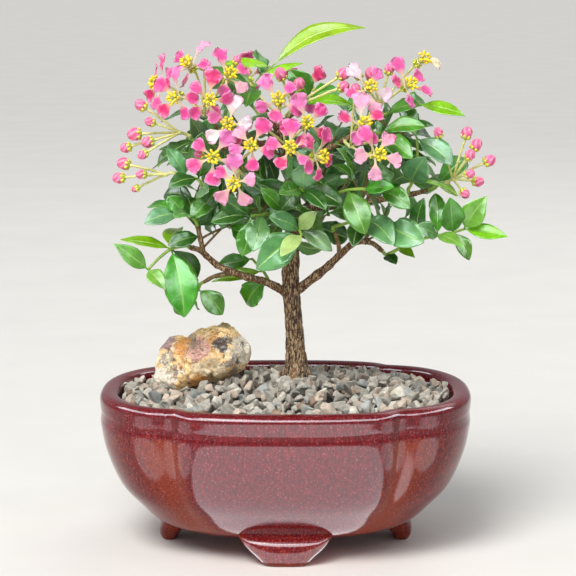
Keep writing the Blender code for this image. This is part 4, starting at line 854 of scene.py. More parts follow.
class Finish:
    """A material in the making: its shader, and the place, tint and marks of what it covers."""

    def __init__(self, name, roughness, gloss=SOFT_GLOSS, ior=1.45):
        self.material = bpy.data.materials.new(name)
        self.material.use_nodes = True
        self.tree = self.material.node_tree
        self.shader = self.tree.nodes["Principled BSDF"]
        self.shader.inputs["Roughness"].default_value = roughness
        self.shader.inputs["IOR"].default_value = ior
        self.shader.inputs["Specular IOR Level"].default_value = gloss
        self.place = self.node("TexCoord", out="Object")
        self.tint = self.node("Attribute", out="Color", attribute_name="tint")
        marks = self.node("Attribute", out="Vector", attribute_name="marks")
        self.marks = self.node("SeparateXYZ", {0: marks}).node.outputs

    def node(self, kind, links=None, out=0, **settings):
        """Add one node; links give its sockets values or outputs. One of its own is handed back."""
        made = self.tree.nodes.new("ShaderNode" + kind)
        for name, value in settings.items():
            setattr(made, name, value)
        for name, value in (links or {}).items():
            socket = made.inputs[name]
            if isinstance(value, bpy.types.NodeSocket):
                self.tree.links.new(value, socket)
            elif socket.type == "RGBA":
                socket.default_value = (*value[:3], 1)
            else:
                socket.default_value = value
        return made.outputs[out]

    def soften(self, weight, radius, depth):
        """Let some light through the surface, to a depth in millimetres."""
        self.shader.inputs["Subsurface Weight"].default_value = weight
        self.shader.inputs["Subsurface Radius"].default_value = radius
        self.shader.inputs["Subsurface Scale"].default_value = depth * MM

    def join(self, tint, bump=None, roughness=None):
        """Link the colour, the bumps and the roughness to the shader, and hand over the material."""
        for name, output in (("Base Color", tint), ("Normal", bump), ("Roughness", roughness)):
            if output:
                self.tree.links.new(output, self.shader.inputs[name])
        return self.material


def per(millimetres):
    """The texture scale that gives a pattern of one size in millimetres."""
    return 1 / (millimetres * MM)


def oxblood_glaze(look):
    """Copper-red glaze on stoneware."""
    # Dipped and fired stoneware: a glassy coat, deep red with fine brighter runs, rust brown
    # where it broke thin over creases and edges, with pale specks and a faint orange peel.
    made = Finish("oxblood_glaze", 0.12, GLAZE_GLOSS, 1.5)
    thin, sole, _ = made.marks
    stretch = made.node("Mapping", {0: made.place, 3: (1, 1, 0.35)})
    runs = made.node("TexNoise", {"Vector": stretch, "Scale": per(1.0), "Detail": 5, "Roughness": 0.65})
    flashed = made.node("MapRange", {0: runs, 1: 0.44, 2: 0.68, 4: 0.8})
    body = made.node("Mix", {0: flashed, 6: look.glaze, 7: look.flash}, out=2, data_type="RGBA")
    ragged = made.node("Math", {0: runs, 1: 1.9, 2: -0.95}, operation="MULTIPLY_ADD")
    worn = made.node("Math", {0: thin, 1: ragged}, operation="ADD")
    broken = made.node("MapRange", {0: worn, 1: 0.2, 2: 0.9, 4: 0.9}, interpolation_type="SMOOTHSTEP")
    glaze = made.node("Mix", {0: broken, 6: body, 7: look.rust}, out=2, data_type="RGBA")
    fine = made.node("TexNoise", {"Vector": made.place, "Scale": 1 / look.speck_size, "Detail": 2})
    dots = made.node("MapRange", {0: fine, 1: 0.58, 2: 0.7, 4: 0.5})
    dotted = made.node("Mix", {0: dots, 6: glaze, 7: look.speck}, out=2, data_type="RGBA")
    bare = made.node("Mix", {0: sole, 6: dotted, 7: look.clay}, out=2, data_type="RGBA")
    matt = made.node("MapRange", {0: sole, 3: 0.12, 4: 0.9})
    peel = made.node("Bump", {"Height": runs, "Strength": 0.5, "Distance": 0.035 * MM})
    return made.join(bare, peel, matt)


def crushed_stone(look):
    """Crushed and screened rock."""
    # Broken chips, washed but unpolished: matt faces with a fine grain and duller, dustier spots.
    made = Finish("crushed_stone", 0.88)
    blotch = made.node("TexNoise", {"Vector": made.place, "Scale": per(2.4), "Detail": 5})
    grain = made.node("TexNoise", {"Vector": made.place, "Scale": 1 / look.grain, "Detail": 3})
    shade = made.node("MapRange", {0: blotch, 1: 0.3, 2: 0.7, 3: 0.72, 4: 1.18})
    speck = made.node("MapRange", {0: grain, 1: 0.3, 2: 0.7, 3: 0.8, 4: 1.15})
    value = made.node("Math", {0: shade, 1: speck}, operation="MULTIPLY")
    mottled = made.node("HueSaturation", {"Value": value, "Color": made.tint})
    rough = made.node("Bump", {"Height": grain, "Strength": 0.7, "Distance": 0.25 * MM})
    return made.join(mottled, rough)


def plain_grit(name, channels, size, roughness):
    """Loose or pressed grains of one colour."""
    # Soil, grit and moulded mesh: dull grains, with painted light on their tops and painted shade in
    # the gaps between them.
    made = Finish(name, roughness)
    grains = made.node("TexVoronoi", {"Vector": made.place, "Scale": per(size)})
    # Painted light and shade: each grain is lightest at its middle and darkest towards its edges
    shade = made.node("MapRange", {0: grains, 1: 0, 2: 0.7, 3: 1.25, 4: 0.5})
    lit = made.node("HueSaturation", {"Value": shade, "Color": channels})
    bump = made.node("Bump", {"Height": grains, "Strength": 0.8, "Distance": size * 0.4 * MM},
                     invert=True)
    return made.join(lit, bump)


def weathered_jasper(look):
    """Broken, iron-stained stone."""
    # Fractured and weathered by water: ochre ground with cream, pink and charcoal stains whose
    # edges are ragged, speckled all over with cream and rust, brown along old cracks, and dull.
    made = Finish("weathered_jasper", 0.6)
    warp = made.node("TexNoise", {"Vector": made.place, "Scale": per(4.5), "Detail": 9,
                                  "Roughness": 0.7})
    drift = made.node("TexNoise", {"Vector": made.place, "Scale": per(9), "Detail": 6})
    tone = made.node("MapRange", {0: drift, 1: 0.3, 2: 0.7, 3: 0.8, 4: 1.2})
    stained = made.node("HueSaturation", {"Value": tone, "Color": look.ochre})
    through = made.node("Mapping", {0: made.place, 3: (1, STAIN_DEPTH, 1)})
    for centre, reach, code, ragged in ROCK_STAINS:
        middle = TO_FRAME @ (ROCK_CENTRE + Vector(centre))
        middle.y *= STAIN_DEPTH
        away = made.node("VectorMath", {0: through, 1: middle}, out="Value", operation="DISTANCE")
        edge = made.node("Math", {0: warp, 1: ragged * 5 * MM, 2: away}, operation="MULTIPLY_ADD")
        low = (reach - 1.0 + ragged * 2.5) * MM
        mask = made.node("MapRange", {0: edge, 1: low, 2: low + 1.4 * MM, 3: 0.92, 4: 0},
                         interpolation_type="SMOOTHSTEP")
        stained = made.node("Mix", {0: mask, 6: stained, 7: linear(code)}, out=2, data_type="RGBA")
    fine = made.node("TexNoise", {"Vector": made.place, "Scale": per(0.9), "Detail": 6})
    grains = made.node("TexNoise", {"Vector": made.place, "Scale": per(2.3), "Detail": 6,
                                    "Roughness": 0.65})
    for low, high, share, channels in ((0.56, 0.64, 0.6, look.chalk), (0.44, 0.37, 0.5, look.iron),
                                       (0.335, 0.3, 0.85, look.vein)):
        speck = made.node("MapRange", {0: grains, 1: low, 2: high, 4: share})
        stained = made.node("Mix", {0: speck, 6: stained, 7: channels}, out=2, data_type="RGBA")
    seam = made.node("TexNoise", {"Vector": made.place, "Scale": per(12), "Detail": 5,
                                  "Distortion": 0.8})
    off = made.node("Math", {0: seam, 1: 0.5}, operation="SUBTRACT")
    near = made.node("Math", {0: off}, operation="ABSOLUTE")
    line = made.node("MapRange", {0: near, 1: 0.002, 2: 0.012, 3: 0.8, 4: 0})
    broken = made.node("MapRange", {0: drift, 1: 0.5, 2: 0.56})
    crack = made.node("Math", {0: line, 1: broken}, operation="MULTIPLY")
    seamed = made.node("Mix", {0: crack, 6: stained, 7: look.vein}, out=2, data_type="RGBA")
    crazed = made.node("TexVoronoi", {"Vector": made.place, "Scale": per(2.6), "Detail": 2},
                       feature="DISTANCE_TO_EDGE")
    fissure = made.node("MapRange", {0: crazed, 1: 0, 2: 0.05, 3: 0.7, 4: 1.04})
    grit = made.node("MapRange", {0: fine, 1: 0.3, 2: 0.7, 3: 0.75, 4: 1.25})
    shade = made.node("Math", {0: grit, 1: fissure}, operation="MULTIPLY")
    final = made.node("HueSaturation", {"Value": shade, "Color": seamed})
    rough = made.node("Bump", {"Height": fine, "Strength": 0.9, "Distance": 0.4 * MM})
    return made.join(final, rough)


def living_bark(look):
    """Fissured bark that turns to smooth twig as the wood thins."""
    # Slow-grown bark: corky plates parted by dark fissures, pale flecks of lichen on the trunk
    # and lenticels on the branches, and green-brown skin on the youngest wood. Never glossy.
    made = Finish("living_bark", 0.82)
    _, radius, height = made.marks
    stretch = made.node("Mapping", {0: made.place, 3: (1, 1, 0.28)})
    fibre = made.node("TexNoise", {"Vector": stretch, "Scale": per(1.1), "Detail": 6, "Roughness": 0.7})
    depth = made.node("Math", {0: fibre, 1: 1.6, 2: height}, operation="MULTIPLY_ADD")
    raised = made.node("MapRange", {0: depth, 1: 0.3, 2: 0.85})
    bark = made.node("Mix", {0: raised, 6: look.fissure, 7: look.plate}, out=2, data_type="RGBA")
    spots = made.node("TexNoise", {"Vector": stretch, "Scale": per(0.75), "Detail": 3,
                                   "Roughness": 0.75})
    pale = made.node("MapRange", {0: spots, 1: 0.5, 2: 0.6, 4: 0.8})
    limb = made.node("MapRange", {0: radius, 1: 3.2, 2: 4.6, 3: 0.6, 4: 0})
    redder = made.node("Mix", {0: limb, 6: bark, 7: look.branch}, out=2, data_type="RGBA")
    flecked = made.node("Mix", {0: pale, 6: redder, 7: look.fleck}, out=2, data_type="RGBA")
    young = made.node("MapRange", {0: radius, 1: 0.95, 2: 1.35, 3: 0.75, 4: 0})
    skin = made.node("Mix", {0: young, 6: flecked, 7: look.twig}, out=2, data_type="RGBA")
    rough = made.node("Bump", {"Height": fibre, "Strength": 0.9, "Distance": 0.5 * MM})
    return made.join(skin, rough)


def waxy_leaf(look):
    """Leaf blades with midrib and side veins."""
    # A living evergreen leaf: its waxed upper face mirrors the sky, a fine pale midrib and faint
    # side veins show through it, a painted highlight lightens its margin, and its underside is
    # paler and duller.
    made = Finish("waxy_leaf", 0.25, LEAF_GLOSS, 1.5)
    along, across, under = made.marks
    aside = made.node("Math", {0: across}, operation="ABSOLUTE")
    cloud = made.node("TexNoise", {"Vector": made.place, "Scale": per(7), "Detail": 5})
    tone = made.node("MapRange", {0: cloud, 1: 0.3, 2: 0.7, 3: 0.72, 4: 1.28})
    green = made.node("HueSaturation", {"Value": tone, "Color": made.tint})
    slant = made.node("Math", {0: aside, 1: -0.16, 2: along}, operation="MULTIPLY_ADD")
    many = made.node("Math", {0: slant, 1: 8}, operation="MULTIPLY")
    wave = made.node("Math", {0: many, 1: 1}, operation="PINGPONG")
    side_vein = made.node("MapRange", {0: wave, 1: 0.86, 2: 1, 4: 0.16})
    midrib = made.node("MapRange", {0: aside, 1: 0.03, 2: 0.095, 3: 1, 4: 0})
    drawn = made.node("Math", {0: midrib, 1: 0.8}, operation="MULTIPLY")
    # Painted highlight: the margin is lightened towards the vein colour
    margin = made.node("MapRange", {0: aside, 1: 0.93, 2: 1, 4: 0.4})
    veins = made.node("Math", {0: side_vein, 1: drawn}, operation="MAXIMUM")
    lines = made.node("Math", {0: veins, 1: margin}, operation="MAXIMUM")
    paler = made.node("Mix", {0: 0.55, 6: made.tint, 7: look.vein}, out=2, data_type="RGBA")
    veined = made.node("Mix", {0: lines, 6: green, 7: paler}, out=2, data_type="RGBA")
    back = made.node("HueSaturation", {"Saturation": 0.75, "Value": 1.4, "Color": veined})
    both = made.node("Mix", {0: under, 6: veined, 7: back}, out=2, data_type="RGBA")
    waxed = made.node("MapRange", {0: cloud, 1: 0.3, 2: 0.7, 3: 0.2, 4: 0.34})
    dull = made.node("MapRange", {0: under, 3: waxed, 4: 0.6})
    quilt = made.node("Math", {0: wave, 1: -0.35, 2: cloud}, operation="MULTIPLY_ADD")
    sunk = made.node("Math", {0: midrib, 1: -0.8, 2: quilt}, operation="MULTIPLY_ADD")
    bump = made.node("Bump", {"Height": sunk, "Strength": 0.6, "Distance": 0.25 * MM})
    made.soften(0.12, (0.4, 1.0, 0.2), 0.8)
    return made.join(both, bump, dull)


def green_shoot(name, roughness):
    """Young stalks, calyces and anthers in their own tints."""
    # Soft green tissue: satin, with faint streaks along it and a little light let through.
    made = Finish(name, roughness)
    streaks = made.node("TexNoise", {"Vector": made.place, "Scale": per(1.1), "Detail": 4})
    tone = made.node("MapRange", {0: streaks, 1: 0.3, 2: 0.7, 3: 0.8, 4: 1.2})
    toned = made.node("HueSaturation", {"Value": tone, "Color": made.tint})
    bump = made.node("Bump", {"Height": streaks, "Strength": 0.4, "Distance": 0.1 * MM})
    made.soften(0.1, (1.0, 0.2, 0.1), 0.6)
    return made.join(toned, bump)


def rolled_bud(look):
    """Petals rolled up in the bud."""
    # Each bud shows the folded backs of its petals: deep pink, paler along each soft fold.
    made = Finish("rolled_bud", 0.45)
    around, height, _ = made.marks
    swirl = made.node("Math", {0: height, 1: 0.14, 2: around}, operation="MULTIPLY_ADD")
    many = made.node("Math", {0: swirl, 1: 10}, operation="MULTIPLY")
    wave = made.node("Math", {0: many, 1: 1}, operation="PINGPONG")
    streak = made.node("MapRange", {0: wave, 1: 0.2, 2: 1, 4: 0.42}, interpolation_type="SMOOTHSTEP")
    pink = made.node("Mix", {0: streak, 6: look.bud, 7: look.streak}, out=2, data_type="RGBA")
    bump = made.node("Bump", {"Height": wave, "Strength": 0.5, "Distance": 0.3 * MM})
    return made.join(pink, bump)


def crepe_petal(look):
    """Thin, crinkled petals."""
    # Living petal tissue: a velvety, translucent film, deepest in colour in the middle of the
    # limb, paling to its frilled edge and to cream on the claw, with fine veins that fan out.
    made = Finish("crepe_petal", 0.5)
    out, across, edge = made.marks
    cloud = made.node("TexNoise", {"Vector": made.place, "Scale": per(2.6), "Detail": 4})
    deep = made.node("HueSaturation", {"Saturation": 1.03, "Value": 0.93, "Color": made.tint})
    wavy = made.node("Math", {0: cloud, 1: 0.5, 2: edge}, operation="MULTIPLY_ADD")
    ring = made.node("MapRange", {0: wavy, 1: 0.45, 2: 0.95}, interpolation_type="SMOOTHSTEP")
    limb = made.node("Mix", {0: ring, 6: deep, 7: made.tint}, out=2, data_type="RGBA")
    rim = made.node("MapRange", {0: wavy, 1: 0.8, 2: 1.3, 4: 0.75}, interpolation_type="SMOOTHSTEP")
    rimmed = made.node("Mix", {0: rim, 6: limb, 7: look.margin}, out=2, data_type="RGBA")
    fan = made.node("Math", {0: across, 1: 7}, operation="MULTIPLY")
    wave = made.node("Math", {0: fan, 1: 1}, operation="PINGPONG")
    vein = made.node("MapRange", {0: wave, 1: 0.8, 2: 1, 4: 0.16})
    veined = made.node("Mix", {0: vein, 6: rimmed, 7: deep}, out=2, data_type="RGBA")
    throat = made.node("MapRange", {0: out, 1: 0.3, 2: 0.6, 3: 0.85, 4: 0})
    petal = made.node("Mix", {0: throat, 6: veined, 7: look.cream}, out=2, data_type="RGBA")
    crinkle = made.node("Math", {0: wave, 1: 0.3, 2: cloud}, operation="MULTIPLY_ADD")
    bump = made.node("Bump", {"Height": crinkle, "Strength": 0.6, "Distance": 0.25 * MM})
    made.shader.inputs["Sheen Weight"].default_value = 0.15
    made.soften(0.25, (1.0, 0.5, 0.6), 0.8)
    return made.join(petal, bump)


def pale_floor(look):
    """Plain painted floor."""
    # Matt emulsion on board: no pattern but a faint unevenness, so that only shadows show on it.
    made = Finish("pale_floor", 0.75)
    cloud = made.node("TexNoise", {"Vector": made.place, "Scale": per(60), "Detail": 3})
    tone = made.node("MapRange", {0: cloud, 1: 0.3, 2: 0.7, 3: 0.98, 4: 1.02})
    lit = made.node("HueSaturation", {"Value": tone, "Color": look.floor})
    return made.join(lit)


def made_once(make, look):
    """A material that several pieces share, made the first time that a piece asks for it."""
    return bpy.data.materials.get(make.__name__) or make(look)


def along_path(points, position):
    """The point of a path at a place counted in its own points."""
    index = min(int(position), len(points) - 2)
    return points[index].lerp(points[index + 1], position - index)


def seat(paths, parent, position, target):
    """Where a shoot starts on its parent, clear of its bark, and the way that it sets off."""
    points, radii = paths[parent]
    if position is None:
        way = (points[-1] - points[-2]).normalized()
        return points[-1] + way * GAP * TIP_CLEAR, way
    index = min(int(position), len(points) - 2)
    root = along_path(points, position)
    grain = (points[index + 1] - points[index]).normalized()
    way = (target - root) - grain * (target - root).dot(grain)
    way.normalize()
    radius = max(radii[index], radii[index + 1])
    return root + way * (radius + GAP * SIDE_CLEAR), way


def all_paths():
    """The points and radii of every branch, shoot and umbel stalk, each from its seat."""
    paths = {}
    for name, rows in WOOD.items():
        paths[name] = ([Vector(row[:3]) for row in rows], [row[3] for row in rows])
    waiting = [(name, row[:2], row[2], SHOOT_RADIUS) for name, row in SHOOTS.items()]
    waiting += [(name, row[:2], (row[2],), STALK_RADIUS * 1.5) for name, row in UMBELS.items()]
    for name, (parent, position), rows, radius in waiting:
        points = [Vector(row) for row in rows]
        start, way = seat(paths, parent, position, points[0])
        path = [start, start + way * SEAT_REACH] + points
        paths[name] = (path, [radius] * len(path))
    return paths


def outline(scale, inset, crease):
    """The pot's four-lobed outline, as shares of the rim and millimetres off its radius."""
    corners = (-CREASE_AT, CREASE_AT, math.pi - CREASE_AT, math.pi + CREASE_AT, 2 * math.pi - CREASE_AT)
    power = 2 / POT_FULLNESS
    points = []
    for start, end in zip(corners, corners[1:]):
        for step in range(LOBE_STEPS):
            share = step / LOBE_STEPS
            angle = start + (end - start) * share
            away = math.hypot(1 - abs(2 * share - 1), CREASE_ROUND)
            swell = 1 - CREASE_DEPTH * crease * (1 - away) ** CREASE_POWER
            x = signed_power(math.cos(angle), power) * POT_HALF_WIDTH
            y = signed_power(math.sin(angle), power) * POT_HALF_DEPTH
            point = Vector((x, y, 0)) * scale * swell
            points.append(point * (1 - inset / point.length))
    return points


def pot_rings(profile):
    """Rings of the pot's wall along a profile."""
    rows = smooth_rows(profile, PROFILE_STEPS)
    return [[Vector((point.x, point.y, row[0])) for point in outline(*row[1:])] for row in rows]


def thin_glaze(point, away):
    """How far the glaze has broken to rust at a point of the pot's outside, from 0 to 1."""
    below_neck = held((NECK_HEIGHT - point.z) / NECK_FADE)
    crease = bell(away, CREASE_GLOW) * below_neck
    belly = held((BELLY_TOP - point.z) / BELLY_DEPTH)
    side = max(0.0, abs(point.x) / POT_HALF_WIDTH * 2.2 - 1.2) * below_neck
    return min(1.0, CREASE_RUST * crease + BELLY_RUST * belly + SIDE_RUST * side)


def add_foot(shape, x, y, turn, size):
    """Add one foot: an apron that widens from its sole and curves in under the pot's belly."""
    rings = []
    marks = []
    for height, half_width, outward, inward in smooth_rows(FOOT_SECTIONS, PROFILE_STEPS):
        ring = []
        for side in range(FOOT_SIDES):
            angle = math.tau * (side + 0.5) / FOOT_SIDES
            across = signed_power(math.cos(angle), FOOT_SQUARE) * half_width * size
            depth = signed_power(math.sin(angle), FOOT_SQUARE) * (inward + outward) / 2
            point = Vector((across, (inward - outward) / 2 + depth, 0))
            point.rotate(Quaternion(UP, math.radians(turn)))
            ring.append(Vector((x + point.x, y + point.y, height)))
            thin = 0.35 + 0.4 * abs(math.cos(angle)) ** 8 + 0.5 * math.exp(-height / 1.5)
            marks.append((thin, 1.0 if height < SOLE_HEIGHT else 0.0, 0))
        rings.append(ring)
    shape.add_rings(rings, marks)


def make_pot(look):
    """The pot: its wall, lip and lining, its floor with the drain hole, and its feet."""
    shape = Shape()
    outer = pot_rings(POT_WALL)
    rings = outer + pot_rings(POT_LINING)
    for height in (POT_FLOOR, POT_WALL[0][0]):
        edge = [point.to_2d().normalized() * DRAIN_RADIUS for point in rings[0]]
        rings.append([Vector((point.x, point.y, height)) for point in edge])
    marks = []
    for index, ring in enumerate(rings):
        for side, point in enumerate(ring):
            share = side % LOBE_STEPS / LOBE_STEPS
            marks.append((thin_glaze(point, min(share, 1 - share)) if index < len(outer) else 0, 0, 0))
    shape.add_rings(rings, marks, looped=True)
    for row in FEET:
        add_foot(shape, *row)
    shape.build("pot_glazed", [oxblood_glaze(look)], ["pot"])


def mound(x, y):
    """Height of the gravel's bed at a place in the pot."""
    reach = math.hypot(x / (POT_HALF_WIDTH - MOUND_MARGIN), y / (POT_HALF_DEPTH - MOUND_MARGIN))
    return MOUND_EDGE + MOUND_RISE * max(0, 1 - reach) ** 1.2


def mouth(margin):
    """The outline of the pot's mouth, less a margin."""
    return outline(POT_LINING[0][1], POT_LINING[0][2] + margin, 1)


def in_pot(x, y, margin):
    """Whether a place lies inside the pot's mouth by a margin."""
    way = Vector((x, y)).normalized()
    lobe = max(mouth(margin), key=lambda point: point.to_2d().normalized().dot(way))
    return math.hypot(x, y) < lobe.to_2d().length


def chip_kinds():
    """Points and faces of the kinds of broken chip, each about 2 across."""
    draw = random.Random(SEED + 1)
    kinds = []
    for _ in range(CHIP_KINDS):
        chip = bmesh.new()
        for _ in range(CHIP_CORNERS):
            way = cluster(draw, 1).normalized()
            reach = draw.uniform(*CHIP_REACH) / max(abs(part) for part in way) ** 0.7
            chip.verts.new(way * reach)
        bmesh.ops.convex_hull(chip, input=chip.verts)
        loose = [vert for vert in chip.verts if not vert.link_faces]
        bmesh.ops.delete(chip, geom=loose, context="VERTS")
        bmesh.ops.dissolve_limit(chip, angle_limit=0.25, verts=chip.verts, edges=chip.edges)
        bmesh.ops.bevel(chip, geom=chip.edges, offset=CHIP_BEVEL, segments=1, affect="EDGES")
        kinds.append(points_and_faces(chip))
    return kinds


def make_gravel(look):
    """The loose chips in their layers, on a bed of grit."""
    shape = Shape()
    kinds = chip_kinds()
    draw = random.Random(SEED + 2)
    trunk = WOOD["trunk"][2]
    tints = [look.grey] * 10 + [look.warm] * 5 + [look.light] * 4 + [look.blue] * 2 + [look.brown]
    for pitch, lift, halves in CHIP_LAYERS:
        rows = int(POT_HALF_DEPTH / pitch / CHIP_ROW) + 1
        columns = int(POT_HALF_WIDTH / pitch) + 1
        for row in range(-rows, rows + 1):
            for column in range(-columns, columns + 1):
                x = (column + row % 2 / 2) * pitch + draw.uniform(-CHIP_JITTER, CHIP_JITTER) * pitch
                y = row * pitch * CHIP_ROW + draw.uniform(-CHIP_JITTER, CHIP_JITTER) * pitch
                half = draw.uniform(*halves)
                spin = scatter(draw, 1)
                stretch = Vector([draw.uniform(*CHIP_STRETCH) for _ in range(3)]) * half
                points, faces = kinds[draw.randrange(len(kinds))]
                tint = shaded(draw.choice(tints), draw.uniform(*CHIP_SHADE))
                height = mound(x, y) + lift + draw.uniform(-CHIP_HEAVE, CHIP_HEAVE)
                centre = Vector((x, y, height))
                if not in_pot(x, y, half * 0.8) or math.hypot(x - trunk[0], y - trunk[1]) < TRUNK_CLEAR:
                    continue
                if lies_in_rock(centre, -half * 0.3):
                    continue
                turn = Matrix.Rotation(math.tau * spin.length, 3, spin)
                made = [centre + turn @ (point * stretch) for point in points]
                shape.add(made, faces, tint=tint)
    add_grit(shape)
    materials = [crushed_stone(look), plain_grit("potting_grit", look.grit, 1.1, 0.95)]
    shape.build("gravel_chips", materials, ["gravel"], smooth=False)


def add_grit(shape):
    """Add the bed of grit that fills the gaps under the chips."""
    rings = []
    for share in GRIT_SHARES:
        ring = []
        for point in mouth(GAP):
            x, y = point.x * share, point.y * share
            lumps = noise.noise(Vector((x, y, 0)) * GRIT_GRAIN) * GRIT_LUMPS
            ring.append(Vector((x, y, mound(x, y) - GRIT_SINK + lumps)))
        rings.append(ring)
    for share in reversed(GRIT_SHARES):
        height = GRIT_BASE + 3 * (1 - share)
        rings.append([Vector((point.x * share, point.y * share, height)) for point in mouth(GAP)])
    shape.add_rings(rings, kind=1, looped=True)


def rock_reach(angle):
    """How far the rock reaches from its centre in the front view, smoothly round its outline."""
    place = angle / math.tau % 1 * len(ROCK_OUTLINE)
    four = [ROCK_OUTLINE[(int(place) + step) % len(ROCK_OUTLINE)] for step in (-1, 0, 1, 2)]
    return between(*four, place % 1)


def rock_point(direction):
    """The rock's surface in one direction from its centre, as the solid has it."""
    level = Vector((direction.x, 0, direction.z))
    flat = level.normalized() * level.length ** 0.8 * rock_reach(math.atan2(direction.z, direction.x))
    point = flat + Vector((0, signed_power(direction.y, 0.8) * ROCK_HALF_DEPTH, 0))
    swell = noise.noise(direction * ROCK_GRAIN) * ROCK_ROUGHNESS
    for way, height, sharpness in ROCK_BUMPS:
        swell += height * math.exp(sharpness * (direction.dot(way.normalized()) - 1))
    return ROCK_CENTRE + point + direction * swell


def lies_in_rock(point, margin):
    """Whether a point is inside the rock or nearer to its surface than a margin."""
    away = point - ROCK_CENTRE
    if away.length < 0.01:
        return True
    return away.length < (rock_point(away.normalized()) - ROCK_CENTRE).length + margin


def rock_facets():
    """Flat breaks of the rock: a way out, the break's normal and its distance from the centre."""
    draw = random.Random(SEED + 3)
    facets = []
    for _ in range(ROCK_FACETS):
        way = cluster(draw, 1).normalized()
        side = way.orthogonal().normalized() * FACET_STEP
        steps = (Vector(), side, way.cross(side))
        point, first, second = [rock_point((way + step).normalized()) for step in steps]
        normal = (first - point).cross(second - point).normalized()
        normal = (normal + cluster(draw, FACET_TILT)).normalized()
        distance = (point - ROCK_CENTRE).dot(normal) + draw.uniform(-FACET_OFFSET, FACET_OFFSET)
        facets.append(((point - ROCK_CENTRE).normalized(), normal, distance))
    return facets


def make_rock(look):
    """The weathered rock: the solid's form broken into flat facets, cracks and pits."""
    shape = Shape()
    points, faces = ball(ROCK_DETAIL)
    facets = rock_facets()
    made = []
    for direction in points:
        spot = rock_point(direction) - ROCK_CENTRE
        out = spot.normalized()
        near = sorted(facets, key=lambda facet: -out.dot(facet[0]))[:NEAR_FACETS]
        cuts = [distance / max(0.3, out.dot(normal)) for _, normal, distance in near]
        spot = out * min(min(cuts), spot.length + FACET_OFFSET / 2)
        rough = noise.fractal(spot / ROUGH_SIZE, 0.8, 2.1, 5) * ROUGH_HEIGHT
        seam = abs(noise.noise(spot / CRACK_SIZE + Vector((3, 1, 7))))
        rough -= CRACK_DEPTH * max(0.0, CRACK_HALF - seam) / CRACK_HALF
        hollow = noise.noise(spot / PIT_SIZE + Vector((9, 3, 5)))
        pit = -PIT_DEPTH * max(0.0, hollow - PIT_FROM)
        made.append(ROCK_CENTRE + spot + out * (rough + pit))
    shape.add(made, faces)
    shape.build("weathered_rock", [weathered_jasper(look)], ["rock"])


def branch_rows(name):
    """Closely spaced rows of a branch, thicker at its knuckles."""
    rows = WOOD[name]
    spans = [(Vector(a[:3]) - Vector(b[:3])).length for a, b in zip(rows, rows[1:])]
    spacing = sum(spans) / len(spans)
    thick = name == "trunk"
    fine = smooth_rows(rows, max(2, round(spacing / (TRUNK_STEP if thick else BRANCH_STEP))))
    made = []
    gone = 0.0
    for index, row in enumerate(fine):
        if index:
            gone += (Vector(row[:3]) - Vector(fine[index - 1][:3])).length
        knuckle = KNUCKLE_SWELL * bell(math.remainder(gone, KNUCKLE_PITCH), KNUCKLE_HALF)
        made.append((*row[:3], row[3] * (1 + (0 if thick else knuckle))))
    return made


def bark_relief(look):
    """The height of the bark over the wood, for add_tube."""
    depth = look.relief / MM
    foot = WOOD["trunk"][2]

    def relief(point, radius):
        share = min(1.0, radius / THICK_WOOD)
        tall = Vector((point.x, point.y, point.z * BARK_STRETCH))
        crack = 1 - abs(noise.noise(tall / FISSURE_SIZE)) * FISSURE_SHARPNESS
        plate = noise.noise(tall / PLATE_SIZE + Vector((4, 8, 1)))
        flare = bell(point.z - ROOT_FLARE[0], ROOT_FLARE[1])
        around = math.atan2(point.y - foot[1], point.x - foot[0])
        lobe = flare * (0.8 * math.cos(4 * around + 0.6) + 0.4 * math.cos(7 * around))
        lobe = lobe if radius > ROOT_RADIUS else 0
        return (-depth * max(0.0, crack) + 0.5 * depth * plate) * share + lobe

    return relief


def make_wood(look):
    """Trunk and branches under their bark."""
    shape = Shape()
    relief = bark_relief(look)
    for name in WOOD:
        sides = TRUNK_SIDES if name == "trunk" else BRANCH_SIDES
        add_tube(shape, branch_rows(name), sides, relief=relief)
    shape.build("bark_wood", [made_once(living_bark, look)], ["wood"])


def corners_of(name):
    """A search tree of a solid's corners, in millimetres round the pot."""
    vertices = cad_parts[name].data.vertices
    tree = KDTree(len(vertices))
    for vertex in vertices:
        tree.insert((vertex.co - POT_CENTRE) / MM, vertex.index)
    tree.balance()
    return tree


def has_corner(tree, point):
    """Whether a solid has a corner at a point."""
    return tree.find(point)[2] < SAME_POINT


def swings():
    """The bends that a leaf's solid may have, the smallest first."""
    yield 0, 0
    for size in (7, 14, 21, 28, 36):
        for across, around in ((1, 0), (-1, 0), (0, 1), (0, -1), (0.7, 0.7), (-0.7, 0.7), (0.7, -0.7)):
            yield size * across, size * around


def blade_face(root, tip, look, turn):
    """The way that a leaf's upper side faces."""
    axis = (tip - root).normalized()
    face = (look - axis * look.dot(axis)).normalized()
    both = [Quaternion(axis, sign * math.radians(turn)) @ face for sign in (1, -1)]
    return max(both, key=lambda way: way.z)


def leaf_bend(tree, root, tip, turn):
    """The tip and face that a leaf's solid was given, bent up or down and aside round its root."""
    for lift, aside in swings():
        reach = tip - root
        level_side = reach.cross(UP).normalized()
        reach = Quaternion(level_side, math.radians(lift)) @ reach
        end = root + Quaternion(UP, math.radians(aside)) @ reach
        face = blade_face(root, end, FRONT, turn)
        if has_corner(tree, end + face * BLADE_THICKNESS / 2):
            return end, face
    raise ValueError(f"the leaf with its tip at {tip} was not found")


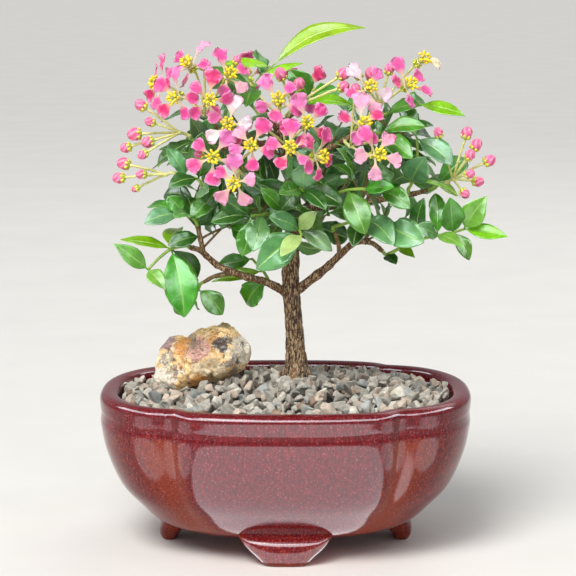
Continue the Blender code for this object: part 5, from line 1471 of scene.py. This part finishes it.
def fill_leaf(draw, path):
    """One more leaf for a shoot, pointing away from the crown's centre."""
    root = along_path(path, draw.uniform(1.1, len(path) - 1.3))
    outward = (root - CROWN_CENTRE).normalized()
    way = outward * FILL_OUTWARD + scatter(draw, 1)
    way.z = way.z * FILL_FLAT - FILL_DROP
    reach = draw.uniform(*FILL_LENGTH)
    tip = root + way.normalized() * reach
    look = Vector((outward.x, outward.y, 0.3))
    return root, tip, reach * FILL_SHARE, blade_face(root, tip, look, draw.uniform(10, 50)), "m"


def shoot_leaves(name, path):
    """Root, tip, width, face and colour letter of every leaf that a shoot's solid has."""
    tree = corners_of(name)
    rows = []
    for position, tip, width, turn, letter in SHOOTS[name][3]:
        root = along_path(path, position)
        end, face = leaf_bend(tree, root, Vector(tip), turn)
        rows.append((root, end, width, face, letter))
    draw = random.Random(SEED + sorted(SHOOTS).index(name))
    for _ in range(FILLED.get(name, 0)):
        for _ in range(FILL_TRIES):
            row = fill_leaf(draw, path)
            if has_corner(tree, row[1] + row[3] * BLADE_THICKNESS / 2):
                rows.append(row)
                break
    return rows


def add_leaf(shape, row, tint, draw, grid, smooth=False):
    """Add one leaf: its stalk, and a blade folded on the midrib, wavy unless it is a smooth one."""
    rows, columns = grid
    root, tip, width, face = row
    axis = (tip - root).normalized()
    reach = (tip - root).length
    side = axis.cross(face)
    wave = width * draw.uniform(*LEAF_WAVE) * (SMOOTH_WAVE if smooth else 1)
    fold = BLADE_FOLD * draw.uniform(*LEAF_FOLDS)
    twist = draw.uniform(-LEAF_TWIST, LEAF_TWIST)
    phase = draw.uniform(0, math.tau)
    beats = draw.uniform(*LEAF_BEATS)
    curve = draw.uniform(-LEAF_CURVE, LEAF_CURVE) * reach
    droop = draw.uniform(*LEAF_DROOP) * reach
    fullness, skew = SMOOTH_OUTLINE if smooth else LEAF_OUTLINE
    rings = []
    marks = []
    for index in range(-1, rows):
        t = (1 - math.cos(math.pi * max(index, 0) / (rows - 1))) / 2
        along = 0.0 if index < 0 else LEAF_STALK + (1 - LEAF_STALK) * t
        half = max(LEAF_STALK_HALF, width / 2 * math.sin(math.pi * t ** skew) ** fullness)
        if index == rows - 1:
            half = LEAF_TIP_HALF
        bow = math.sin(math.pi * along)
        middle = root + axis * (along * reach - (0.25 if index < 0 else 0)) + side * curve * bow
        middle += face * (BLADE_ARCH * 4 * along * (1 - along) * reach - droop * along ** 4)
        spin = Quaternion(axis, twist * along)
        across = spin @ side
        upward = spin @ face
        body = LEAF_THICKNESS * (1.6 if index < 1 else 1)
        ring = []
        for under, v in both_sides(columns):
            beat = math.sin(phase + math.tau * beats * t + (0.8 if v > 0 else 0))
            lift = fold * half * abs(v) ** 1.25
            lift += wave * v * v * beat * bow
            edge = body * (1 - 0.6 * v * v) / 2
            ring.append(middle + across * half * v + upward * (lift - edge if under else lift + edge))
            marks.append((t, v, under))
        rings.append(ring)
    shape.add_rings(rings, marks, tint, rims=(columns - 1, 2 * columns - 1))


def make_shoots(look):
    """Every leafy shoot, with the leaves that its solid has."""
    paths = all_paths()
    materials = [made_once(waxy_leaf, look), green_shoot("green_shoot", 0.45)]
    for index, name in enumerate(SHOOTS):
        shape = Shape()
        path = paths[name][0]
        draw = random.Random(SEED * 100 + index)
        add_tube(shape, taper(path, SHOOT_RADIUS, SHOOT_RADIUS * 0.7, 6), 10, look.shoot, 1)
        for root, tip, width, face, letter in shoot_leaves(name, path):
            tint = varied(draw, getattr(look, LEAF_LETTERS[letter]), *LEAF_SHADES)
            smooth = letter in SMOOTH_LETTERS
            row = (root, tip, width * (SMOOTH_WIDTH if smooth else 1), face)
            add_leaf(shape, row, tint, draw, LEAF_GRID, smooth)
        shape.build(name + "_foliage", materials, [name])


def sight_lines(paths):
    """Points that side twigs may not hide from the front, each with how much room it needs."""
    spots = [(Vector(row[1]), BLOOM_REACH) for row in BLOOMS.values()]
    for row in UMBELS.values():
        spots += [(Vector(centre), BUD_REACH) for centre, _ in row[3]]
    for name in SHOOTS:
        for position, tip, _, _, _ in SHOOTS[name][3]:
            root = along_path(paths[name][0], position)
            spots += [(root.lerp(Vector(tip), share), LEAF_REACH) for share in (0.35, 0.65, 0.95)]
    return spots


def hides(point, spots):
    """Whether a point stands in front of one of the spots, seen from the camera."""
    away = point - EYE
    for spot, reach in spots:
        sight = spot - EYE
        if away.length < sight.length - 1:
            share = away.dot(sight) / sight.length_squared
            if (away - sight * share).length < reach:
                return True
    return False


def inside(point):
    """Whether a point lies inside the crown's envelope."""
    away = point - ENVELOPE_CENTRE
    return sum((part / half) ** 2 for part, half in zip(away, ENVELOPE_HALF)) < 1


def twig_path(draw, points, position):
    """A side twig's points, from inside its branch outwards, or None if it leaves the crown."""
    root = along_path(points, position)
    outward = (root - CROWN_CENTRE).normalized()
    way = (outward * TWIG_OUTWARD + scatter(draw, 1)).normalized()
    path = [root, root + way * 2.5]
    for _ in range(draw.randint(*TWIG_NODES)):
        way = (way + UP * TWIG_RISE + scatter(draw, TWIG_BEND)).normalized()
        point = path[-1] + way * draw.uniform(*TWIG_STEP)
        if not inside(point):
            break
        path.append(point)
    return path if len(path) > 3 else None


def leaf_sheet(root, tip, width, face):
    """A leaf's corners and faces in outline, to test for room."""
    side = (tip - root).normalized().cross(face) * width / 2
    low, high = root.lerp(tip, 0.3), root.lerp(tip, 0.7)
    points = [root.lerp(tip, 0.12), low - side, low + side, high - side, high + side, tip]
    return points, [(0, 1, 2), (1, 3, 2), (2, 3, 4), (3, 5, 4)]


def twig_leaves(draw, path, solids, taken, spots):
    """The leaves of a side twig that have room, in pairs at right angles to the last pair."""
    rows = []
    across = (path[-1] - path[-2]).orthogonal().normalized()
    for last, here in zip(path[1:], path[2:]):
        way = (here - last).normalized()
        across = (across - way * across.dot(way)).normalized()
        across = Quaternion(way, math.pi / 2 + draw.uniform(-0.4, 0.4)) @ across
        for sideways in (across, -across, way) if here is path[-1] else (across, -across):
            reach = draw.uniform(*TWIG_LEAF)
            width = reach * draw.uniform(*TWIG_SHARE)
            aim = sideways + way * TWIG_LEAF_LEAN + UP * draw.uniform(*TWIG_LEAF_RISE)
            tip = here + aim.normalized() * reach
            look = (here - CROWN_CENTRE).normalized() * 0.7 + UP * 0.5
            face = blade_face(here, tip, look, draw.uniform(0, 25))
            points, faces = leaf_sheet(here, tip, width, face)
            if not inside(tip) or any(hides(point, spots) for point in points):
                continue
            sheet = BVHTree.FromPolygons(points, faces)
            middle = here.lerp(tip, 0.5)
            near = [tree for centre, tree in taken if (centre - middle).length < TWIG_LEAF[1]]
            if sheet.overlap(solids) or any(sheet.overlap(tree) for tree in near):
                continue
            taken.append((middle, sheet))
            rows.append((here, tip, width, face))
    return rows


def solids_tree():
    """A search tree of the faces of all solids but the wood."""
    points = []
    faces = []
    for name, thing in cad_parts.items():
        if name != "wood":
            start = len(points)
            points.extend([(vertex.co - POT_CENTRE) / MM for vertex in thing.data.vertices])
            for face in thing.data.polygons:
                faces.append(tuple(index + start for index in face.vertices))
    return BVHTree.FromPolygons(points, faces)


def make_twigs(look, wood_look):
    """Leafy side twigs of the branches, which fill the crown between and behind the shoots."""
    paths = all_paths()
    spots = sight_lines(paths)
    solids = solids_tree()
    materials = [made_once(waxy_leaf, look), made_once(living_bark, wood_look)]
    taken = []
    for order, (name, count) in enumerate(TWIGS.items()):
        draw = random.Random(SEED * 1000 + order)
        paint = random.Random(SEED * 2000 + order)
        shape = Shape()
        branch = paths[name][0]
        lowest = TRUNK_TWIGS_FROM if name == "trunk" else BRANCH_TWIGS_FROM
        for _ in range(count):
            for _ in range(TWIG_TRIES):
                path = twig_path(draw, branch, draw.uniform(lowest, len(branch) - 1.05))
                if path and not any(hides(point, spots) for point in path[2:]):
                    rows = twig_leaves(draw, path, solids, taken, spots)
                    if len(rows) > 2:
                        break
            else:
                continue
            add_tube(shape, taper(path, TWIG_RADIUS, TWIG_RADIUS * 0.6, 4), 8, kind=1)
            for row in rows:
                base = getattr(look, LEAF_LETTERS[paint.choice(TWIG_LETTERS)])
                add_leaf(shape, row, varied(paint, base, *TWIG_SHADES), paint, TWIG_GRID)
        for position, tip, width, turn, letter in SIDE_LEAVES.get(name, ()):
            root = along_path(branch, position)
            row = (root, Vector(tip), width, blade_face(root, Vector(tip), FRONT, turn))
            add_leaf(shape, row, getattr(look, LEAF_LETTERS[letter]), paint, LEAF_GRID)
        if shape.faces:
            shape.build(name + "_twigs", materials, [])


def facing(name):
    """The way that a bloom faces: outward from the crown and to the front."""
    centre, given = BLOOMS[name][1], BLOOMS[name][3]
    if given:
        return Vector(given).normalized()
    rise = (centre[2] - BLOOM_HEIGHT) / BLOOM_SPREAD[1] + BLOOM_LIFT
    return Vector((centre[0] / BLOOM_SPREAD[0], -1, rise)).normalized()


def bloom_frame(name, twist):
    """A bloom's own frame: Z along its facing, X towards its first petal."""
    out = facing(name)
    across = UP.cross(out).normalized()
    up = out.cross(across)
    angle = math.radians(BLOOMS[name][2] + twist)
    first = across * math.cos(angle) + up * math.sin(angle)
    turn = Matrix((first, out.cross(first), out)).transposed().to_4x4()
    return Matrix.Translation(BLOOMS[name][1]) @ turn


def bloom_twist(name):
    """How far the petals of a bloom's solid were turned to clear its neighbours."""
    tree = corners_of(name)
    radius, width, height = PETAL_ROWS[-1]
    corner = Vector((radius, width / 2, height + PETAL_THICKNESS / 2))
    for twist in TWISTS:
        if has_corner(tree, bloom_frame(name, twist) @ corner):
            return twist
    raise ValueError(f"the petals of {name} were not found")


def add_stalk(shape, root, middle, end, look):
    """Add a flower stalk that bows a little, with the joint where its bracts sat."""
    points = interpolate_bezier(root, root.lerp(middle, 0.8), middle.lerp(end, 0.3), end, STALK_POINTS)
    rows = []
    for index, point in enumerate(points):
        share = index / (STALK_POINTS - 1)
        joint = JOINT_SWELL * bell(share - JOINT_AT, JOINT_HALF)
        rows.append((*point, STALK_RADIUS * (0.92 + joint + 0.25 * share ** 3)))
    add_tube(shape, rows, 10, look.stalk, STALK_KIND)


def add_calyx(shape, place, radius, look):
    """Add five sepals and their large oil glands, in a frame whose Z points out."""
    for index in range(PETALS):
        turn = place @ turned(math.tau * (index + 0.5) / PETALS, "Z") @ moved(radius * 0.8, 0, 0.3)
        add_ball(shape, turn @ turned(SEPAL_LEAN, "Y"), SEPAL_HALVES, look.calyx, CALYX_KIND)
    for index in range(GLANDS):
        turn = place @ turned(math.tau * index / GLANDS, "Z")
        spot = turn @ moved(radius, 0, -0.35) @ turned(GLAND_LEAN, "Y")
        add_ball(shape, spot, GLAND_HALVES, shaded(look.calyx, 1.2), CALYX_KIND)
    halves = (radius * 0.85, radius * 0.85, 1.1)
    add_ball(shape, place @ moved(0, 0, -0.6), halves, look.calyx, CALYX_KIND)


def bud_swell(point):
    """The radius of a bud in a direction, with the folds of its petals."""
    around = math.atan2(point.y, point.x) + 0.9 * point.z
    fold = 0.09 * math.cos(5 * around) * (1 - point.z ** 2)
    return 1 + fold + 0.1 * max(0.0, point.z) ** 3


def add_bud(shape, centre, size, root, look, draw):
    """Add a round bud on its stalk, its petals rolled inside its calyx."""
    way = (centre - root).normalized()
    place = pointing(centre, way) @ turned(draw.uniform(0, 1.2), "Z")
    half = BUD_RADIUS * size
    tint = [draw.uniform(0.9, 1.1)] * 3
    add_ball(shape, place, (half, half, half * 1.12), tint, BUD_KIND, 3, bud_swell)
    add_calyx(shape, pointing(centre - way * half * 0.6, way), half * 0.78, look)


def add_core(shape, name, look, draw):
    """Add the middle of a flower: calyx, ovary, styles and the dense cluster of stamens."""
    place = bloom_frame(name, 0)
    green = look.calyx
    add_calyx(shape, place @ moved(0, 0, -1.6), 1.75, look)
    add_ball(shape, place @ moved(0, 0, 0.6), (1.1, 1.1, 1.5), green, CALYX_KIND)
    for index in range(STYLES):
        way = spoke(math.tau * index / STYLES)
        rows = [(*(place @ (way * 0.3 + UP * 1.5)), 0.28), (*(place @ (way * 0.9 + UP * 4.0)), 0.22)]
        add_tube(shape, rows, 6, green, CALYX_KIND)
        stigma = place @ Matrix.Translation(way * 0.95 + UP * 4.1)
        add_ball(shape, stigma, (0.4, 0.4, 0.4), green, CALYX_KIND, 1)
    for index in range(STAMENS):
        angle = math.tau * (index + draw.uniform(-0.2, 0.2)) / STAMENS
        radius = STAMEN_REACH[index % 2] + draw.uniform(-0.2, 0.25)
        height = STAMEN_HEIGHT[index % 2] + draw.uniform(-0.3, 0.35)
        way = spoke(angle)
        tip = way * radius + UP * height
        middle = way * (STAMEN_ROOT + radius) / 2 * 1.1 + UP * height * 0.5
        points = (way * STAMEN_ROOT + UP * 0.4, middle, tip)
        rows = [(*(place @ point), FILAMENT_RADIUS) for point in points]
        gold = shaded(look.anther, draw.uniform(0.82, 1.12))
        add_tube(shape, rows, 6, look.stalk, STALK_KIND)
        head = place @ Matrix.Translation(tip) @ turned(angle, "Z")
        head = head @ turned(draw.uniform(-0.6, 0.6), "X") @ turned(draw.uniform(0.2, 1.0), "Y")
        add_ball(shape, head, ANTHER_HALVES, gold, ANTHER_KIND)


def make_stems(look):
    """Every umbel: its stalk, the stalks of its buds and blooms, and the middles of the blooms."""
    paths = all_paths()
    materials = [green_shoot("green_stalk", 0.5), green_shoot("fleshy_calyx", 0.35), rolled_bud(look),
                 green_shoot("pollen_anther", 0.7)]
    for order, name in enumerate(UMBELS):
        shape = Shape()
        draw = random.Random(SEED * 300 + order)
        path = paths[name][0]
        hub = path[-1]
        rows = taper(path, STALK_RADIUS * 1.5, STALK_RADIUS * 1.2, 6)
        add_tube(shape, rows, 10, look.stalk, STALK_KIND)
        add_ball(shape, Matrix.Translation(hub), HUB_HALVES, look.stalk, CALYX_KIND)
        for centre, size in UMBELS[name][3]:
            centre = Vector(centre)
            root = hub + (centre - hub).normalized() * STALK_RADIUS
            end = centre - (centre - root).normalized() * BUD_RADIUS * size * 0.9
            add_stalk(shape, root, root.lerp(end, 0.5) + UP * 0.02 * (end - root).length, end, look)
            add_bud(shape, centre, size, root, look, draw)
        for bloom, row in BLOOMS.items():
            if row[0] == name:
                centre = Vector(row[1])
                back = centre - facing(bloom) * BLOOM_BACK
                root = hub + (back - hub).normalized() * STALK_RADIUS
                add_stalk(shape, root, back, centre - facing(bloom) * BLOOM_NECK, look)
                add_core(shape, bloom, look, draw)
        shape.build(name.replace("_stems", "_flowering"), materials, [name])


def limb_height(out):
    """How high a petal's middle stands over its flower's middle, as the solid has it."""
    (claw, _, _), (limb, _, top), (tip, _, end) = PETAL_ROWS
    rise = held((out - claw) / (limb - claw))
    fall = max(0.0, out - limb) / (tip - limb)
    return top * math.sin(rise * math.pi / 2) - (top - end) * fall


def add_petal(shape, place, tint, draw):
    """Add one petal, in a frame with X along it: a claw that opens into a round, frilled limb."""
    phase = draw.uniform(0, math.tau)
    cup = draw.uniform(*PETAL_CUP)
    ruffle = draw.uniform(*PETAL_RUFFLE)
    curl = draw.uniform(*PETAL_CURL)
    rings = []
    marks = []
    for out, half in smooth_rows(PETAL_SPINE, 2):
        limb = held((out - LIMB_FROM) / LIMB_OPENS)
        beyond = (out - LIMB_FROM) / LIMB_REACH
        ring = []
        for under, v in both_sides(PETAL_COLUMNS):
            scallop = 0.3 * math.sin(8 * v + phase) + 0.2 * math.sin(15 * v + 2 * phase)
            across = half * v * (1 + 0.07 * limb * math.sin(2.1 * out + 3 * phase + v))
            aside = across / LIMB_HALF
            height = limb_height(out) + cup * aside ** 2 + curl * beyond ** 3
            height += ruffle * limb * abs(v) ** 2 * math.sin(1.9 * out + phase + 2 * v)
            height += ruffle * 0.7 * beyond ** 2 * math.sin(6 * v + phase) * limb
            height += (-FILM if under else FILM) / 2
            ring.append(place @ Vector((out + limb * limb * scallop, across, height)))
            edge = math.hypot((out - LIMB_CENTRE) / LIMB_HALF, aside)
            marks.append(((out - 1) / 10, aside, edge if out > LIMB_CENTRE else abs(v) * limb))
        rings.append(ring)
    shape.add_rings(rings, marks, tint, rims=(PETAL_COLUMNS - 1, 2 * PETAL_COLUMNS - 1))


def make_blooms(look):
    """The petals of every bloom, each in its own colour."""
    petal = crepe_petal(look)
    for order, (name, row) in enumerate(BLOOMS.items()):
        shape = Shape()
        draw = random.Random(SEED * 400 + order)
        spent = name == SPENT_BLOOM
        place = bloom_frame(name, 0 if spent else bloom_twist(name))
        turns = [math.tau * index / PETALS for index in range(PETALS)]
        heights = [(place.to_3x3() @ spoke(turn)).z for turn in turns]
        for index, letter in enumerate(row[4][:1] if spent else row[4]):
            tint = varied(draw, getattr(look, PETAL_LETTERS[letter]), *PETAL_SHADES)
            upper = heights[index] == max(heights)
            size = UPPER_PETAL if upper else draw.uniform(*LOWER_PETAL)
            turn = turned(turns[index] + draw.uniform(-0.12, 0.12), "Z")
            tilt = turned(draw.uniform(-0.2, 0.15), "Y")
            twist = max(-MOST_TURN, min(MOST_TURN, draw.gauss(0, PETAL_TURN)))
            twisted = turned(math.radians(twist), "X") @ Matrix.Scale(size, 4)
            add_petal(shape, place @ turn @ tilt @ twisted, tint, draw)
        add_ball(shape, place @ moved(0, 0, 0.1), (1.5, 1.5, 0.45), look.cream)
        shape.build(name + "_petals", [petal], [name])


def make_soil(look):
    """Soil and the mesh over the drain hole, which keep their solids' shapes."""
    finishes = {
        "soil": plain_grit("potting_soil", look.soil, 1.6, 0.95),
        "drain_screen": plain_grit("moulded_mesh", linear("23282a"), 0.8, 0.55),
    }
    for name, material in finishes.items():
        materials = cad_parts[name].data.materials
        materials.clear()
        materials.append(material)


def add_light(name, place, target, width, height, power, tint=WHITE):
    """Add one softbox, aimed at a point."""
    data = bpy.data.lights.new(name, "AREA")
    data.shape = "RECTANGLE"
    data.size = width
    data.size_y = height
    data.energy = power
    data.color = tint
    way = Vector(target) - Vector(place)
    return put(name, data, place, way.to_track_quat("-Z", "Y").to_euler())


def make_stage(look):
    """Floor, surround, softboxes and the camera."""
    scene = bpy.context.scene
    mesh = bpy.data.meshes.new("studio_floor")
    half = FLOOR_HALF
    corners = [(-half, -half, 0), (half, -half, 0), (half, half, 0), (-half, half, 0)]
    mesh.from_pydata(corners, [], [(0, 1, 2, 3)])
    mesh.materials.append(pale_floor(look))
    floor = put("studio_floor", mesh)
    world = bpy.data.worlds.new("studio")
    world.use_nodes = True
    background = world.node_tree.nodes["Background"]
    background.inputs["Color"].default_value = (*look.sky, 1)
    background.inputs["Strength"].default_value = SKY_STRENGTH
    scene.world = world
    for row in SOFTBOXES:
        add_light(*row)
    mirrored = [add_light(*row, STRIP_TINT) for row in STRIPS]
    for name, x, y, turn, width, depth, power in CARDS:
        card = add_light(name, (x, y, CARD_HEIGHT), (x, y, 1), width, depth, power, CARD_TINT)
        card.rotation_euler = (math.pi, 0, math.radians(turn))
        card.data.shape = "ELLIPSE"
        mirrored.append(card)
    for light in mirrored:
        light.visible_camera = False
        light.visible_diffuse = False
    data = bpy.data.lights.new("soft_sun", "SUN")
    data.energy = SUN_STRENGTH
    data.angle = SUN_ANGLE
    put("soft_sun", data, turn=(-SUN_FROM).to_track_quat("-Z", "Y").to_euler())
    data = bpy.data.cameras.new("camera")
    data.lens = look.focal
    data.sensor_width = SENSOR
    place = POT_CENTRE + Vector((EYE.x * MM, -look.distance, look.height))
    scene.camera = put("camera", data, place, (math.pi / 2 - look.pitch, 0, 0))
    scene.view_settings.view_transform = "Standard"


class BONSAI_OT_pot(bpy.types.Operator):
    """Build the glazed pot"""

    bl_idname = "bonsai.pot"
    bl_label = "Glazed pot"

    def execute(self, context):
        make_pot(context.scene.bonsai_pot)
        return {"FINISHED"}


class BONSAI_OT_soil(bpy.types.Operator):
    """Finish the soil and the drain screen"""

    bl_idname = "bonsai.soil"
    bl_label = "Soil and screen"

    def execute(self, context):
        make_soil(context.scene.bonsai_stone)
        return {"FINISHED"}


class BONSAI_OT_gravel(bpy.types.Operator):
    """Scatter the gravel"""

    bl_idname = "bonsai.gravel"
    bl_label = "Gravel"

    def execute(self, context):
        make_gravel(context.scene.bonsai_stone)
        return {"FINISHED"}


class BONSAI_OT_rock(bpy.types.Operator):
    """Build the weathered rock"""

    bl_idname = "bonsai.rock"
    bl_label = "Rock"

    def execute(self, context):
        make_rock(context.scene.bonsai_stone)
        return {"FINISHED"}


class BONSAI_OT_wood(bpy.types.Operator):
    """Grow the trunk and branches"""

    bl_idname = "bonsai.wood"
    bl_label = "Trunk and branches"

    def execute(self, context):
        make_wood(context.scene.bonsai_wood)
        return {"FINISHED"}


class BONSAI_OT_shoots(bpy.types.Operator):
    """Grow the leafy shoots"""

    bl_idname = "bonsai.shoots"
    bl_label = "Leafy shoots"

    def execute(self, context):
        make_shoots(context.scene.bonsai_leaf)
        return {"FINISHED"}


class BONSAI_OT_twigs(bpy.types.Operator):
    """Fill the crown with side twigs"""

    bl_idname = "bonsai.twigs"
    bl_label = "Side twigs"

    def execute(self, context):
        make_twigs(context.scene.bonsai_leaf, context.scene.bonsai_wood)
        return {"FINISHED"}


class BONSAI_OT_stems(bpy.types.Operator):
    """Grow the flower stalks, buds and stamens"""

    bl_idname = "bonsai.stems"
    bl_label = "Flower stalks"

    def execute(self, context):
        make_stems(context.scene.bonsai_flower)
        return {"FINISHED"}


class BONSAI_OT_blooms(bpy.types.Operator):
    """Open the blooms"""

    bl_idname = "bonsai.blooms"
    bl_label = "Petals"

    def execute(self, context):
        make_blooms(context.scene.bonsai_flower)
        return {"FINISHED"}


class BONSAI_OT_stage(bpy.types.Operator):
    """Set up the floor, the light and the camera"""

    bl_idname = "bonsai.stage"
    bl_label = "Floor, light and camera"

    def execute(self, context):
        make_stage(context.scene.bonsai_stage)
        return {"FINISHED"}


class BONSAI_PT_pieces(bpy.types.Panel):
    """The bonsai's pieces in the sidebar."""

    bl_idname = "BONSAI_PT_pieces"
    bl_label = "Flowering bonsai"
    bl_space_type = "VIEW_3D"
    bl_region_type = "UI"
    bl_category = "Bonsai"

    def draw(self, context):
        for operator in OPERATORS:
            self.layout.operator(operator.bl_idname)
        for name in SETTINGS:
            box = self.layout.box()
            settings = getattr(context.scene, name)
            for key in settings.__annotations__:
                box.prop(settings, key)


SETTINGS = {
    "bonsai_pot": BonsaiPotSettings, "bonsai_stone": BonsaiStoneSettings,
    "bonsai_wood": BonsaiWoodSettings, "bonsai_leaf": BonsaiLeafSettings,
    "bonsai_flower": BonsaiFlowerSettings, "bonsai_stage": BonsaiStageSettings,
}
OPERATORS = (
    BONSAI_OT_stage, BONSAI_OT_pot, BONSAI_OT_soil, BONSAI_OT_gravel, BONSAI_OT_rock, BONSAI_OT_wood,
    BONSAI_OT_shoots, BONSAI_OT_twigs, BONSAI_OT_stems, BONSAI_OT_blooms,
)


def register():
    """Register the settings, operators and panel."""
    for name, group in SETTINGS.items():
        bpy.utils.register_class(group)
        setattr(bpy.types.Scene, name, PointerProperty(type=group))
    for kind in (*OPERATORS, BONSAI_PT_pieces):
        bpy.utils.register_class(kind)


def unregister():
    """Take the settings, operators and panel back out."""
    for kind in (BONSAI_PT_pieces, *reversed(OPERATORS)):
        bpy.utils.unregister_class(kind)
    for name, group in SETTINGS.items():
        delattr(bpy.types.Scene, name)
        bpy.utils.unregister_class(group)


def main():
    """Build every piece."""
    register()
    for operator in OPERATORS:
        family, name = operator.bl_idname.split(".")
        getattr(getattr(bpy.ops, family), name)()


if __name__ == "__main__":
    main()
